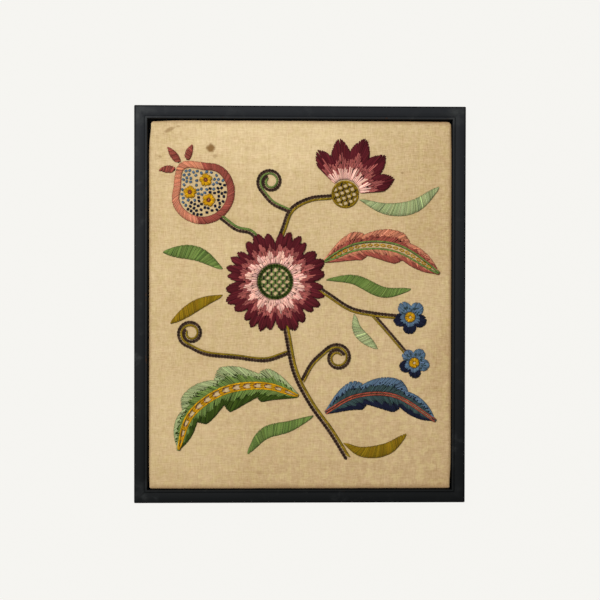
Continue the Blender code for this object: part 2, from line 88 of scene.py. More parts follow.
class Wool(Enum):
    """The dyes of the crewel wool, as seen in the light of the photograph."""

    BURGUNDY = (92, 28, 35)
    ROSE = (168, 90, 84)
    PINK = (250, 196, 178)
    CORAL = (210, 134, 102)
    BRICK = (158, 80, 66)
    GREEN = (113, 136, 67)
    DARK_GREEN = (56, 74, 20)
    LIGHT_GREEN = (166, 177, 124)
    BLUE = (92, 116, 138)
    TEAL = (58, 78, 78)
    NAVY = (26, 29, 50)
    GOLD = (206, 152, 16)
    OLIVE = (145, 115, 18)
    MOSS = (143, 117, 26)
    BROWN = (68, 48, 38)
    RUST = (156, 76, 58)
    UMBER = (44, 32, 26)

    @property
    def dye(self) -> np.ndarray:
        """The dye in linear light."""
        return np.array(linear(self.value))


# Lines and outlines, in millimetres


def smooth_line(points: Sequence[Point], per_span: int) -> np.ndarray:
    """A smooth curve through given points.

    Args:
        points: The points that it goes through.
        per_span: The steps between each two of them.

    Returns:
        The curve's points, one row each.
    """
    given = np.array(points, float)
    ends = np.vstack([2 * given[0] - given[1], given, 2 * given[-1] - given[-2]])
    line = []
    for a, b, c, d in zip(ends, ends[1:], ends[2:], ends[3:]):
        for t in np.arange(per_span) / per_span:
            bend = (2 * a - 5 * b + 4 * c - d) * t**2 + (3 * b - a - 3 * c + d) * t**3
            line.append(0.5 * (2 * b + (c - a) * t + bend))
    return np.array([*line, given[-1]])


def line_length(line: np.ndarray) -> float:
    """The length of a line of points."""
    return float(np.linalg.norm(np.diff(line, axis=0), axis=1).sum())


def at_shares(line: np.ndarray, shares: Sequence[float] | np.ndarray) -> np.ndarray:
    """The points that lie given shares of the way along a line, one row each.

    Args:
        line: The line's points.
        shares: How far along each lies, from 0 to 1.

    Returns:
        The points.
    """
    along = np.concatenate([[0], np.cumsum(np.linalg.norm(np.diff(line, axis=0), axis=1))])
    wanted = np.asarray(shares, float) * along[-1]
    return np.stack([np.interp(wanted, along, line[:, axis]) for axis in range(line.shape[1])], axis=1)


def directions(line: np.ndarray) -> tuple[np.ndarray, np.ndarray]:
    """The unit way along a line at each of its points, and the way to its left.

    Args:
        line: The line's points.

    Returns:
        The ways along it and to its left, one row each.
    """
    way = np.gradient(line, axis=0)
    way /= np.linalg.norm(way, axis=1)[:, None]
    return way, np.stack([-way[:, 1], way[:, 0]], axis=1)


def beside(line: np.ndarray, distance: Reach) -> np.ndarray:
    """The line that runs a distance to the left of a line, or to its right where it is negative."""
    return line + directions(line)[1] * np.broadcast_to(distance, len(line))[:, None]


def lengthened(line: np.ndarray, before: float, after: float) -> np.ndarray:
    """A line made longer at its start and at its end.

    Args:
        line: The line's points.
        before: What its start gains.
        after: What its end gains.

    Returns:
        The longer line.
    """
    first = line[0] + (line[0] - line[1]) / np.linalg.norm(line[0] - line[1]) * before
    last = line[-1] + (line[-1] - line[-2]) / np.linalg.norm(line[-1] - line[-2]) * after
    return np.vstack([first, line[1:-1], last])


def polar(centre: Point | np.ndarray, radius: Reach, angle: Reach) -> np.ndarray:
    """The points at a radius and an angle in radians from a centre, one row each where several are asked."""
    radius, angle = np.broadcast_arrays(radius, angle)
    return np.array(centre) + np.stack([radius * np.cos(angle), radius * np.sin(angle)], axis=-1)


def swell(share: np.ndarray, powers: Point) -> np.ndarray:
    """A rise from 0 and a fall back to 0 along a share from 0 to 1."""
    return np.abs(np.sin(math.pi * np.asarray(share) ** powers[0])) ** powers[1]


def bell(distance: np.ndarray, width: float) -> np.ndarray:
    """A soft peak of 1 where the distance is 0."""
    return np.exp(-((distance / width) ** 2))


# Objects and meshes


def linked(name: str, data: bpy.types.ID) -> bpy.types.Object:
    """A new object in the scene, with its data.

    Args:
        name: The object's name.
        data: Its mesh, its lamp or its camera.

    Returns:
        The object.
    """
    made = bpy.data.objects.new(name, data)
    bpy.context.scene.collection.objects.link(made)
    return made


def bridged(rings: int, count: int) -> list[tuple[int, ...]]:
    """The faces that join each ring of points to the next, with as many points each.

    Args:
        rings: How many rings there are.
        count: The points of each.

    Returns:
        The faces, as the numbers of their corners.
    """
    faces = []
    for near in range((rings - 1) * count):
        after = near + 1 if (near + 1) % count else near + 1 - count
        faces.append((near, after, after + count, near + count))
    return faces


def skinned(
    name: str, places: np.ndarray, faces: list[tuple[int, ...]], uv: tuple[str, np.ndarray], finish: Any
) -> bpy.types.Mesh:
    """A smooth mesh.

    Args:
        name: Its name.
        places: Its points, in millimetres.
        faces: Its faces.
        uv: Its UV map's name, and the map's place for each point.
        finish: Its material.

    Returns:
        The mesh, in metres.
    """
    mesh = bpy.data.meshes.new(name)
    mesh.from_pydata((places * MM).tolist(), [], faces)
    corners = np.array([loop.vertex_index for loop in mesh.loops])
    layer = mesh.uv_layers.new(name=uv[0])
    layer.data.foreach_set("uv", uv[1][corners].astype(np.float32).ravel())
    mesh.shade_smooth()
    mesh.materials.append(finish)
    return mesh


def settled(piece: bpy.types.Object, replaced: Sequence[str] = ()) -> None:
    """Makes a finished piece part of the model.

    Args:
        piece: The piece.
        replaced: The CAD nodes that it stands for.
    """
    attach(piece, BODY)
    if replaced:
        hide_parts(*replaced)
    piece.data.calc_loop_triangles()
    triangles = len(piece.data.loop_triangles)
    LOG.info("%s: %d triangles, stands for %d nodes", piece.name, triangles, len(replaced))


# Shader and geometry nodes


class Signal:
    """A node's output socket, whose sums and products add Math nodes to its tree."""

    def __init__(self, tree: "Tree", socket: bpy.types.NodeSocket) -> None:
        """Wraps one output socket of a tree."""
        self.tree = tree
        self.socket = socket

    def maths(self, operation: str, *others: "Signal | float") -> "Signal":
        """The result of a Math node on this value and others."""
        return self.tree.node("ShaderNodeMath", {"operation": operation}, dict(enumerate((self, *others))))

    def __add__(self, other: "Signal | float") -> "Signal":
        """This value plus another."""
        return self.maths("ADD", other)

    def __radd__(self, other: float) -> "Signal":
        """A number plus this value."""
        return self + other

    def __sub__(self, other: "Signal | float") -> "Signal":
        """This value less another."""
        return self.maths("SUBTRACT", other)

    def __rsub__(self, other: float) -> "Signal":
        """A number less this value."""
        return self * -1 + other

    def __mul__(self, other: "Signal | float") -> "Signal":
        """This value times another."""
        return self.maths("MULTIPLY", other)

    def __rmul__(self, other: float) -> "Signal":
        """A number times this value."""
        return self * other

    def __truediv__(self, other: "Signal | float") -> "Signal":
        """This value over another."""
        return self.maths("DIVIDE", other)

    def __pow__(self, other: float) -> "Signal":
        """This value raised to a power."""
        return self.maths("POWER", other)

    def size(self) -> "Signal":
        """This value without its sign."""
        return self.maths("ABSOLUTE")

    def between(self, low: float, high: float) -> "Signal":
        """A soft step from 0 at low to 1 at high."""
        values = {"Value": self, "From Min": low, "From Max": high, "To Min": 0.0, "To Max": 1.0}
        return self.tree.node("ShaderNodeMapRange", {"interpolation_type": "SMOOTHSTEP"}, values)


class Tree:
    """A node tree and the method that adds its nodes."""

    def __init__(self, tree: bpy.types.NodeTree) -> None:
        """Wraps the tree."""
        self.tree = tree

    def node(
        self,
        kind: str,
        settings: dict[str, Any] | None = None,
        values: dict[str | int, Any] | None = None,
        output: str | int = 0,
    ) -> Signal:
        """Adds a node.

        Args:
            kind: The node's type.
            settings: Its own settings, set first.
            values: The values or links of its input sockets, by name or number.
            output: The output that is wanted.

        Returns:
            The wanted output.
        """
        made = self.tree.nodes.new(kind)
        for key, value in (settings or {}).items():
            setattr(made, key, value)
        for key, value in (values or {}).items():
            self.feed(made.inputs[key], value)
        return Signal(self, made.outputs[output])

    def feed(self, socket: bpy.types.NodeSocket, value: Any) -> None:
        """Links a signal to a socket, or sets the socket's own value.

        Args:
            socket: The socket.
            value: The signal or the value.
        """
        if isinstance(value, Signal):
            self.tree.links.new(value.socket, socket)
        else:
            socket.default_value = value


class Graph(Tree):
    """One material and its nodes."""

    def __init__(self, name: str) -> None:
        """Makes the material with a plain shader.

        Args:
            name: The material's name.
        """
        self.material = bpy.data.materials.new(name)
        self.material.use_nodes = True
        super().__init__(self.material.node_tree)

    def place(self) -> Signal:
        """Where a point is on the object, in metres."""
        return self.node("ShaderNodeTexCoord", output="Object")

    def told(self, name: str, output: str = "Fac") -> Signal:
        """The value of an attribute of the piece."""
        return self.node("ShaderNodeAttribute", {"attribute_name": name}, output=output)

    def vectors(self, operation: str, values: dict[str | int, Any]) -> Signal:
        """The result of a Vector Math node."""
        return self.node("ShaderNodeVectorMath", {"operation": operation}, values)

    def noise(self, vector: Signal, scale: float | Place, detail: float = 2.0, rough: float = 0.5) -> Signal:
        """Soft noise around 0.5.

        Args:
            vector: The place that it is read at.
            scale: How many patches lie in a metre, or how many along each axis.
            detail: The finer octaves.
            rough: How much the finer octaves weigh.

        Returns:
            The noise's value.
        """
        if not isinstance(scale, float):
            vector, scale = self.vectors("MULTIPLY", {0: vector, 1: scale}), 1.0
        values = {"Vector": vector, "Scale": scale, "Detail": detail, "Roughness": rough}
        return self.node("ShaderNodeTexNoise", values=values)

    def split(self, vector: Signal) -> tuple[Signal, Signal, Signal]:
        """The three parts of a vector."""
        parts = self.node("ShaderNodeSeparateXYZ", values={0: vector}).socket.node
        return tuple(Signal(self, part) for part in parts.outputs)

    def mixed(self, share: Signal | float, first: Any, second: Any) -> Signal:
        """The first colour with a share of the second."""
        settings = {"data_type": "RGBA", "clamp_factor": True}
        return self.node("ShaderNodeMix", settings, {0: share, 6: first, 7: second}, output=2)

    def lit(self, colour: Signal, light: Signal) -> Signal:
        """A colour made lighter or darker by a value."""
        return self.vectors("SCALE", {0: colour, "Scale": light})

    def bump(self, height: Signal, distance: float, strength: float) -> Signal:
        """A surface normal that follows a height, whose 1 stands for a distance in metres."""
        values = {"Height": height, "Distance": distance, "Strength": strength}
        return self.node("ShaderNodeBump", values=values)

    def finish(self, **sockets: Any) -> bpy.types.Material:
        """Sets the shader's sockets, named with underscores for their spaces, and gives the material.

        Args:
            sockets: The value or the signal of each.

        Returns:
            The material.
        """
        shader = self.tree.nodes["Principled BSDF"]
        for name, value in sockets.items():
            self.feed(shader.inputs[name.replace("_", " ").title().replace("Ior", "IOR")], value)
        return self.material


@dataclass(frozen=True)
class WoolFinish:
    """Two-ply crewel wool: each yarn has its own dye, twisted plies and a soft fuzz, with painted shade on the
    sides of each yarn that face away from up and on the padding between yarns.
    """

    ply_turn: float = 3.4
    ply_depth: float = 0.00022
    fuzz_scale: float = 1900.0
    patch_scale: float = 160.0

    def made(self) -> bpy.types.Material:
        """The material, which reads the attributes that YarnTree leaves on a piece, and darkens each yarn's
        sides as painted shade.

        Returns:
            The material.
        """
        graph = Graph("crewel_wool")
        level, upright, _ = graph.split(graph.told("section", "Vector"))
        turned = graph.told("run") * (math.tau / (self.ply_turn * MM))
        ply = (level * turned.maths("SINE") + upright * turned.maths("COSINE")).size()
        fuzz = graph.noise(graph.place(), self.fuzz_scale, 3.0, 0.6)
        patch = graph.noise(graph.place(), self.patch_scale)
        # Painted shade: yarn sides that face away from up are darkened, and the padding, which has no facing,
        # darkest.
        painted_shade = 0.3 + 0.8 * graph.told("painted_shade_facing").between(0.0, 0.95)
        light = (0.6 + ply * 0.3 + fuzz * 0.34 + patch * 0.2) * painted_shade
        return graph.finish(
            base_color=graph.lit(graph.told("dye", "Color"), light),
            roughness=0.9,
            specular_ior_level=0.12,
            sheen_weight=0.05,
            sheen_roughness=0.45,
            normal=graph.bump(ply * 0.75 + fuzz * 0.25, self.ply_depth, 0.9),
        )


@dataclass(frozen=True)
class LinenFinish:
    """Unbleached linen, read on its own flat cut: slubs both ways, mottling, age stains and a fine weave, with
    painted light and shade laid over them.

    A stain is its place, its half length and width, its turn in degrees and its strength; the long thin one
    along the top right edge is a painted shadow under the top rail. A patch of painted light is its place, its
    half length and width and the light that it adds, which is painted shade where it is negative. The cloth is
    also painted darker towards the bottom right, and its edges are darker with soil and painted shade.
    """

    flat: Point
    face: Point
    base: Colour = (231, 202, 152)
    painted_shade_tone: Colour = (217, 185, 138)
    yellow: Colour = (228, 200, 146)
    pink: Colour = (231, 197, 150)
    stain_and_shadow_tone: Colour = (146, 104, 52)
    step: Place = (0.54, 0.48, 0.33)
    edge_soil_and_shade: Colour = (168, 132, 92)
    edge_soil_and_shade_reach: Point = (3.2, 4.6)
    thread_pitch: float = 1.3
    stains_and_shadow_strip: tuple[tuple[float, ...], ...] = (
        (-86.0, 150.0, 6.0, 5.6, 0.0, 0.92),
        (-82.0, 142.0, 3.4, 2.6, 0.0, 0.42),
        (-125.2, 167.4, 7.6, 2.8, 22.0, 0.56),
        (-117.0, 170.5, 2.4, 1.8, 0.0, 0.3),
        # A painted shadow under the top rail, along the top right edge, not a stain.
        (122.0, 176.4, 27.0, 1.5, 0.0, 0.75),
        (-134.5, 141.6, 2.6, 1.6, -14.0, 0.4),
        (65.0, 156.5, 2.4, 1.9, 0.0, 0.4),
        (98.0, 127.0, 2.0, 1.6, 0.0, 0.5),
        (72.5, 123.5, 2.2, 1.7, 0.0, 0.36),
        (-38.0, -162.0, 4.4, 3.4, 0.0, 0.22),
        (121.0, -90.0, 3.4, 2.6, 0.0, 0.2),
    )
    # Patches of painted light and shade: lighter towards the top left, darker to the right and the bottom.
    light_and_shade_patches: tuple[tuple[float, ...], ...] = (
        (-26.0, 178.0, 100.0, 62.0, 0.24),
        (-150.0, 160.0, 60.0, 60.0, 0.07),
        (-150.0, -110.0, 60.0, 46.0, 0.07),
        (150.0, 105.0, 52.0, 84.0, -0.12),
        (10.0, -188.0, 170.0, 44.0, -0.09),
        (150.0, -188.0, 60.0, 60.0, -0.07),
        (158.0, -66.0, 44.0, 60.0, -0.12),
    )

    def stain_and_shadow_share(self, across: Signal, up: Signal, fray: Signal) -> Signal:
        """How much of the age stains and the painted shadow strip shows at a place on the flat cut, with noise
        that frays their edges.

        Args:
            across: The place across the flat cut, in metres from its middle.
            up: The place up it.
            fray: Noise that frays the stains' edges.

        Returns:
            The share of stain and painted shadow, from 0 to 1.
        """
        total = across * 0.0
        for x, y, length, width, turn, strength in self.stains_and_shadow_strip:
            cosine, sine = math.cos(math.radians(turn)), math.sin(math.radians(turn))
            aside, above = across - x * MM, up - y * MM
            along = (aside * cosine + above * sine).size() / (length * MM)
            athwart = (above * cosine - aside * sine).size() / (width * MM)
            frayed = along**1.6 + athwart**1.6 + (fray - 0.5) * 0.8
            total = total + (1 - frayed.between(0.2, 0.95)) * strength
        return total

    def painted_light_and_shade(self, across: Signal, up: Signal) -> Signal:
        """How much painted light is added at a place on the flat cut; where it is negative, painted shade.

        Args:
            across: The place across the flat cut, in metres from its middle.
            up: The place up it.

        Returns:
            What is added to the cloth's lightness.
        """
        total = across * 0.0
        for x, y, length, width, strength in self.light_and_shade_patches:
            reach = ((across - x * MM) / (length * MM)) ** 2.0 + ((up - y * MM) / (width * MM)) ** 2.0
            total = total + (1 - reach.between(0.0, 1.4)) * strength
        return total

    def made(self) -> bpy.types.Material:
        """The material.

        Returns:
            The material.
        """
        graph = Graph("linen")
        uv = graph.node("ShaderNodeUVMap", {"uv_map": "cut"})
        centred = graph.vectors("SUBTRACT", {0: uv, 1: (0.5, 0.5, 0.0)})
        cut = graph.vectors("MULTIPLY", {0: centred, 1: (self.flat[0] * MM, self.flat[1] * MM, 0.0)})
        across, up, _ = graph.split(cut)
        weft = graph.noise(cut, (150.0, 920.0, 1.0), 3.0, 0.62)
        warp = graph.noise(cut, (840.0, 130.0, 1.0), 3.0, 0.62)
        broad_weft = graph.noise(cut, (14.0, 240.0, 1.0))
        broad_warp = graph.noise(cut, (260.0, 12.0, 1.0))
        fleck = graph.noise(cut, 420.0, 3.0, 0.65)
        mottle = graph.noise(cut, 34.0, 3.0, 0.55)
        cloud = graph.noise(cut, 13.0)
        pitch = math.tau / (self.thread_pitch * MM)
        wander = (mottle + fleck) * 2.4
        weave = (up * pitch + wander).maths("SINE") * graph.noise(cut, 60.0).between(0.4, 0.7)
        weave = weave + (across * pitch + wander).maths("SINE") * graph.noise(cut, 52.0).between(0.4, 0.7)
        # Painted shade: the cloth darkens towards the bottom right, away from the light.
        shade = (up - across) * -3.4 + 0.2 + (mottle - 0.5) * 1.6
        toned = graph.mixed(shade.between(-0.4, 1.4), rgba(self.base), rgba(self.painted_shade_tone))
        yellowed = graph.noise(cut, 125.0, 2.0, 0.6).between(0.44, 0.62)
        toned = graph.mixed(yellowed, toned, rgba(self.yellow))
        flushed = graph.noise(cut, 110.0, 2.0, 0.6).between(0.5, 0.66) * 0.45
        toned = graph.mixed(flushed, toned, rgba(self.pink))
        spun = (weft - 0.5) * 0.78 + (warp - 0.5) * 0.66 + (broad_weft - 0.5) * 0.24
        spun = spun + (broad_warp - 0.5) * 0.2 + (fleck - 0.5) * 0.32 + weave * 0.05
        slubs = graph.noise(cut, (75.0, 1050.0, 1.0)).maths("MAXIMUM", graph.noise(cut, (950.0, 62.0, 1.0)))
        dark = graph.noise(cut, 540.0, 2.0, 0.6).between(0.6, 0.8) * 0.16 - slubs.between(0.64, 0.8) * 0.11
        change = spun * (up * 0.9 + 1.03) + (mottle - 0.5) * 0.34 + (cloud - 0.5) * 0.26 - dark
        # Painted light and shade patches.
        change = change + self.painted_light_and_shade(across, up) + 0.01
        toned = graph.vectors("MULTIPLY_ADD", {0: change, 1: self.step, 2: toned})
        stain_and_shadow_share = self.stain_and_shadow_share(across, up, graph.noise(cut, 260.0, 3.0, 0.6))
        aged = graph.mixed(stain_and_shadow_share, toned, rgba(self.stain_and_shadow_tone))
        # The edges darken within a few millimetres: soil, and painted shade from the frame on the lapped edge.
        inset_x, inset_y = self.edge_soil_and_shade_reach
        beyond_x = (across.size() - (self.face[0] / 2 - inset_x) * MM) / (inset_x * MM)
        beyond_y = (up.size() - (self.face[1] / 2 - inset_y) * MM) / (inset_y * MM)
        rim = beyond_x.maths("MAXIMUM", beyond_y) + (mottle - 0.5) * 0.9
        height = weave * 0.16 + weft * 0.5 + warp * 0.4 + fleck * 0.2
        return graph.finish(
            base_color=graph.mixed(rim.between(-0.2, 1.3) * 0.92, aged, rgba(self.edge_soil_and_shade)),
            roughness=0.93,
            specular_ior_level=0.15,
            sheen_weight=0.05,
            normal=graph.bump(height, 0.0003, 0.65),
        )


@dataclass(frozen=True)
class EbonisedFinish:
    """Black-stained wood in satin polish: faint grain along each rail, scuffs and brown chips, with painted
    light: lighter towards the top and the left, a painted sheen on the crown and a painted highlight on the
    bead, painted shade in the groove and on the ledge, and the outer edge darkest.
    """

    shaded_body_below: Colour = (15, 17, 18)
    lit_body_above: Colour = (38, 40, 44)
    recess_and_edge_shade: Colour = (7, 7, 8)
    rubbed_and_lit_tone: Colour = (66, 68, 68)
    chipped: Colour = (74, 50, 34)

    def made(self) -> bpy.types.Material:
        """The material, which reads the way along and round the moulding, and each place's share of wear and
        painted light.

        Returns:
            The material.
        """
        graph = Graph("ebonised_wood")
        way = graph.node("ShaderNodeUVMap", {"uv_map": "moulding"})
        wear_and_light = graph.told("wear_and_light")
        grain = graph.noise(way, (24.0, 1500.0, 1.0), 4.0, 0.6)
        streak = graph.noise(way, (5.0, 380.0, 1.0), 3.0, 0.6)
        cloud = graph.noise(graph.place(), 26.0, 3.0, 0.6)
        scuff = graph.noise(graph.place(), 90.0, 4.0, 0.65)
        chips = graph.noise(graph.place(), 420.0, 3.0, 0.6)
        across, up, _ = graph.split(graph.place())
        # Painted light: the frame is lighter towards the top and darker towards the bottom.
        lit_toward_top = up / 0.38 + 0.5
        # Wear at the mitres, made stronger towards the top as painted light.
        mitre = across.size().between(0.13, 0.153) * up.size().between(0.162, 0.185)
        mitre = mitre * scuff.between(0.3, 0.7) * wear_and_light.between(0.05, 0.3) * (lit_toward_top * 0.7 + 0.1)
        scuffed = scuff.between(0.5, 0.74) * cloud.between(0.42, 0.66)
        # Scuffs are wear; the share of the lit tone rises towards the top as a painted highlight.
        rubbing_and_highlight = (scuffed + wear_and_light * (0.4 + lit_toward_top * 0.8)) * 0.45 + mitre
        body = graph.mixed(lit_toward_top, rgba(self.shaded_body_below), rgba(self.lit_body_above))
        # Painted shade: low shares darken the groove and the ledge, and the outer edge darkest.
        body = graph.mixed((wear_and_light * 2.0).between(0.0, 0.4), rgba(self.recess_and_edge_shade), body)
        body = graph.mixed(rubbing_and_highlight, body, rgba(self.rubbed_and_lit_tone))
        chip = chips.between(0.5, 0.62) * cloud.between(0.56, 0.66) * wear_and_light.between(0.45, 0.6)
        body = graph.mixed(chip, body, rgba(self.chipped))
        return graph.finish(
            # Painted light: lighter on the left, darker on the right.
            base_color=graph.lit(body, (0.78 + grain * 0.26 + streak * 0.2) * (1 - across)),
            roughness=0.5 + cloud * 0.16 + chip * 0.3 + grain * 0.08,
            specular_ior_level=0.1,
            normal=graph.bump(grain * 0.6 + scuff * 0.4 - chip * 0.8, 0.00012, 0.6),
        )


@dataclass(frozen=True)
class BoardFinish:
    """Grey-brown pulp board, flecked with fibres."""

    pulp: Colour = (168, 154, 128)
    fleck: Colour = (120, 106, 84)

    def made(self) -> bpy.types.Material:
        """The material.

        Returns:
            The material.
        """
        graph = Graph("pulp_board")
        fibres = graph.noise(graph.place(), (700.0, 260.0, 400.0), 4.0, 0.65)
        clouds = graph.noise(graph.place(), 24.0, 3.0)
        flecked = graph.mixed(fibres.between(0.52, 0.72), rgba(self.pulp), rgba(self.fleck))
        return graph.finish(
            base_color=graph.lit(flecked, 0.86 + clouds * 0.28),
            roughness=0.94,
            specular_ior_level=0.1,
            normal=graph.bump(fibres, 0.0002, 0.5),
        )


@dataclass(frozen=True)
class FloorFinish:
    """The studio's plain pale floor."""

    tone: Colour = (246, 245, 241)
    shade: Colour = (24, 24, 24)
    glow: float = 0.99

    def made(self) -> bpy.types.Material:
        """The material.

        Returns:
            The material.
        """
        return Graph("pale_floor").finish(
            base_color=rgba(self.shade),
            roughness=0.95,
            specular_ior_level=0.0,
            emission_color=rgba(self.tone),
            emission_strength=self.glow,
        )


class YarnTree(Tree):
    """The Geometry Nodes tree that lays a round yarn along each loose edge and keeps a piece's padding."""

    YARN_RADIUS = 0.52
    SIDES = 6
    INPUTS = {"Stitches": "Geometry", "Yarn radius": "Float", "Sides": "Int", "Wool": "Material"}

    def __init__(self, wool: bpy.types.Material) -> None:
        """Builds the tree once, for all the stitched pieces, with the wool that every yarn takes.

        Args:
            wool: The material that every yarn takes.
        """
        super().__init__(bpy.data.node_groups.new("lay_yarn", "GeometryNodeTree"))
        self.wool = wool
        sockets = self.tree.interface
        self.identifiers = {
            name: sockets.new_socket(name, in_out="INPUT", socket_type=f"NodeSocket{kind}").identifier
            for name, kind in self.INPUTS.items()
        }
        sockets.new_socket("Yarn", in_out="OUTPUT", socket_type="NodeSocketGeometry")
        self.link_nodes()

    def given(self, name: str) -> Signal:
        """One of the tree's own inputs."""
        return self.node("NodeGroupInput", output=name)

    def stored(self, geometry: Signal, kind: str, name: str, value: Signal) -> Signal:
        """The geometry with a value kept at each point."""
        values = {"Geometry": geometry, "Name": name, "Value": value}
        return self.node("GeometryNodeStoreNamedAttribute", {"data_type": kind, "domain": "POINT"}, values)

    def link_nodes(self) -> None:
        """Loose edges become curves, swept by a round section whose points are kept as an attribute, as is each
        normal's upward share, which the wool turns into painted shade.
        """
        faces = self.node("GeometryNodeInputMeshEdgeNeighbors")
        loose = self.node("FunctionNodeCompare", {"data_type": "INT", "operation": "EQUAL"}, {2: faces})
        parted = {"Geometry": self.given("Stitches"), "Selection": loose}
        lines = self.node("GeometryNodeSeparateGeometry", {"domain": "EDGE"}, parted)
        padding = Signal(self, lines.socket.node.outputs["Inverted"])
        curves = self.node("GeometryNodeMeshToCurve", values={"Mesh": lines})
        girth = self.node("GeometryNodeInputNamedAttribute", {"data_type": "FLOAT"}, {"Name": "girth"})
        section = {"Resolution": self.given("Sides"), "Radius": self.given("Yarn radius")}
        circle = self.node("GeometryNodeCurvePrimitiveCircle", values=section)
        spot = self.node("GeometryNodeInputPosition")
        unit = self.node("ShaderNodeVectorMath", {"operation": "NORMALIZE"}, {0: spot})
        kept = self.tree.nodes.new("GeometryNodeCaptureAttribute")
        kept.capture_items.new("VECTOR", "Section")
        self.feed(kept.inputs["Geometry"], circle)
        self.feed(kept.inputs["Section"], unit)
        ring, around = (Signal(self, kept.outputs[name]) for name in ("Geometry", "Section"))
        swept = {"Curve": curves, "Profile Curve": ring, "Scale": girth, "Fill Caps": True}
        tubes = self.node("GeometryNodeCurveToMesh", values=swept)
        marked = self.stored(tubes, "FLOAT_VECTOR", "section", around)
        # The upward share of each normal, kept for the painted shade on the sides of the yarns.
        facing = self.node("GeometryNodeInputNormal")
        upright = self.node("ShaderNodeSeparateXYZ", values={"Vector": facing}, output="Z")
        painted_shade_marked = self.stored(marked, "FLOAT", "painted_shade_facing", upright)
        joined = self.node("GeometryNodeJoinGeometry", values={0: painted_shade_marked})
        self.feed(joined.socket.node.inputs[0], padding)
        smooth = self.node("GeometryNodeSetShadeSmooth", values={"Geometry": joined})
        real = self.node("GeometryNodeRealizeInstances", values={"Geometry": smooth})
        covered = {"Geometry": real, "Material": self.given("Wool")}
        dressed = self.node("GeometryNodeSetMaterial", values=covered)
        self.feed(self.tree.nodes.new("NodeGroupOutput").inputs["Yarn"], dressed)

    def worked(self, name: str, mesh: bpy.types.Mesh) -> bpy.types.Object:
        """Turns a mesh of loose edges and padding into a finished piece.

        Args:
            name: The piece's name.
            mesh: The edges and the padding's faces, in metres, with their attributes.

        Returns:
            The piece, a plain mesh with no modifier.
        """
        source = linked(f"{name}_lines", mesh)
        modifier = source.modifiers.new("lay_yarn", "NODES")
        modifier.node_group = self.tree
        modifier[self.identifiers["Yarn radius"]] = self.YARN_RADIUS * MM
        modifier[self.identifiers["Sides"]] = self.SIDES
        modifier[self.identifiers["Wool"]] = self.wool
        graph = bpy.context.evaluated_depsgraph_get()
        made = bpy.data.meshes.new_from_object(source.evaluated_get(graph), depsgraph=graph)
        bpy.data.objects.remove(source, do_unlink=True)
        bpy.data.meshes.remove(mesh)
        made.name = name
        return linked(name, made)


# Stitches


@dataclass
class Strip:
    """A strip of linen to be filled: its inner and its outer edge, with as many points each."""

    inner: np.ndarray
    outer: np.ndarray

    @classmethod
    def along(cls, line: np.ndarray, half: Reach) -> "Strip":
        """The strip that reaches as far to each side of a line."""
        return cls(beside(line, -half), beside(line, half))

    @classmethod
    def round(cls, centre: Point | np.ndarray, inner: Reach, outer: Reach, angles: np.ndarray) -> "Strip":
        """The strip between two distances from a centre."""
        return cls(polar(centre, inner, angles), polar(centre, outer, angles))

    def at(self, along: np.ndarray, across: Reach) -> np.ndarray:
        """The places at shares of the way along the strip, and from its inner edge to its outer.

        Args:
            along: Shares of the way along its edges.
            across: Shares of the way to its outer edge.

        Returns:
            The places, one row each.
        """
        position = np.clip(along, 0, 1) * (len(self.inner) - 1)
        index = np.minimum(position.astype(int), len(self.inner) - 2)
        part = (position - index)[:, None]
        inner = self.inner[index] * (1 - part) + self.inner[index + 1] * part
        outer = self.outer[index] * (1 - part) + self.outer[index + 1] * part
        return inner + (outer - inner) * np.broadcast_to(across, len(part))[:, None]

    def length(self, across: float) -> float:
        """The strip's length at a share of the way across it."""
        return line_length(self.inner + (self.outer - self.inner) * across)


@dataclass(frozen=True)
class Lay:
    """How far apart a row's yarns lie, in millimetres, and their thickness as a share of the yarn's."""

    spacing: float
    girth: float


LONG_AND_SHORT = Lay(1.66, 1.66)
SATIN = Lay(1.05, 1.35)
FINE = Lay(1.3, 1.4)


@dataclass(frozen=True)
class Band:
    """One row of satin or long-and-short stitches, given by shares of the way across a strip."""

    wool: Wool
    start: float = 0.0
    end: float = 1.0
    ragged_start: float = 0.0
    ragged_end: float = 0.02
    level: float = 0.0
    gauge: float | None = None
    lean: float = 0.0
    rows: int = 1
    tongues: int = 0
    tongue_depth: float = 0.0
    lay: Lay = LONG_AND_SHORT
    ragged_join: float = 0.05


@dataclass(frozen=True)
class Specks:
    """Short marks of a dye in a zone across a strip, how far apart they lie on average and how high."""

    wool: Wool
    zone: Point
    gap: float
    level: float


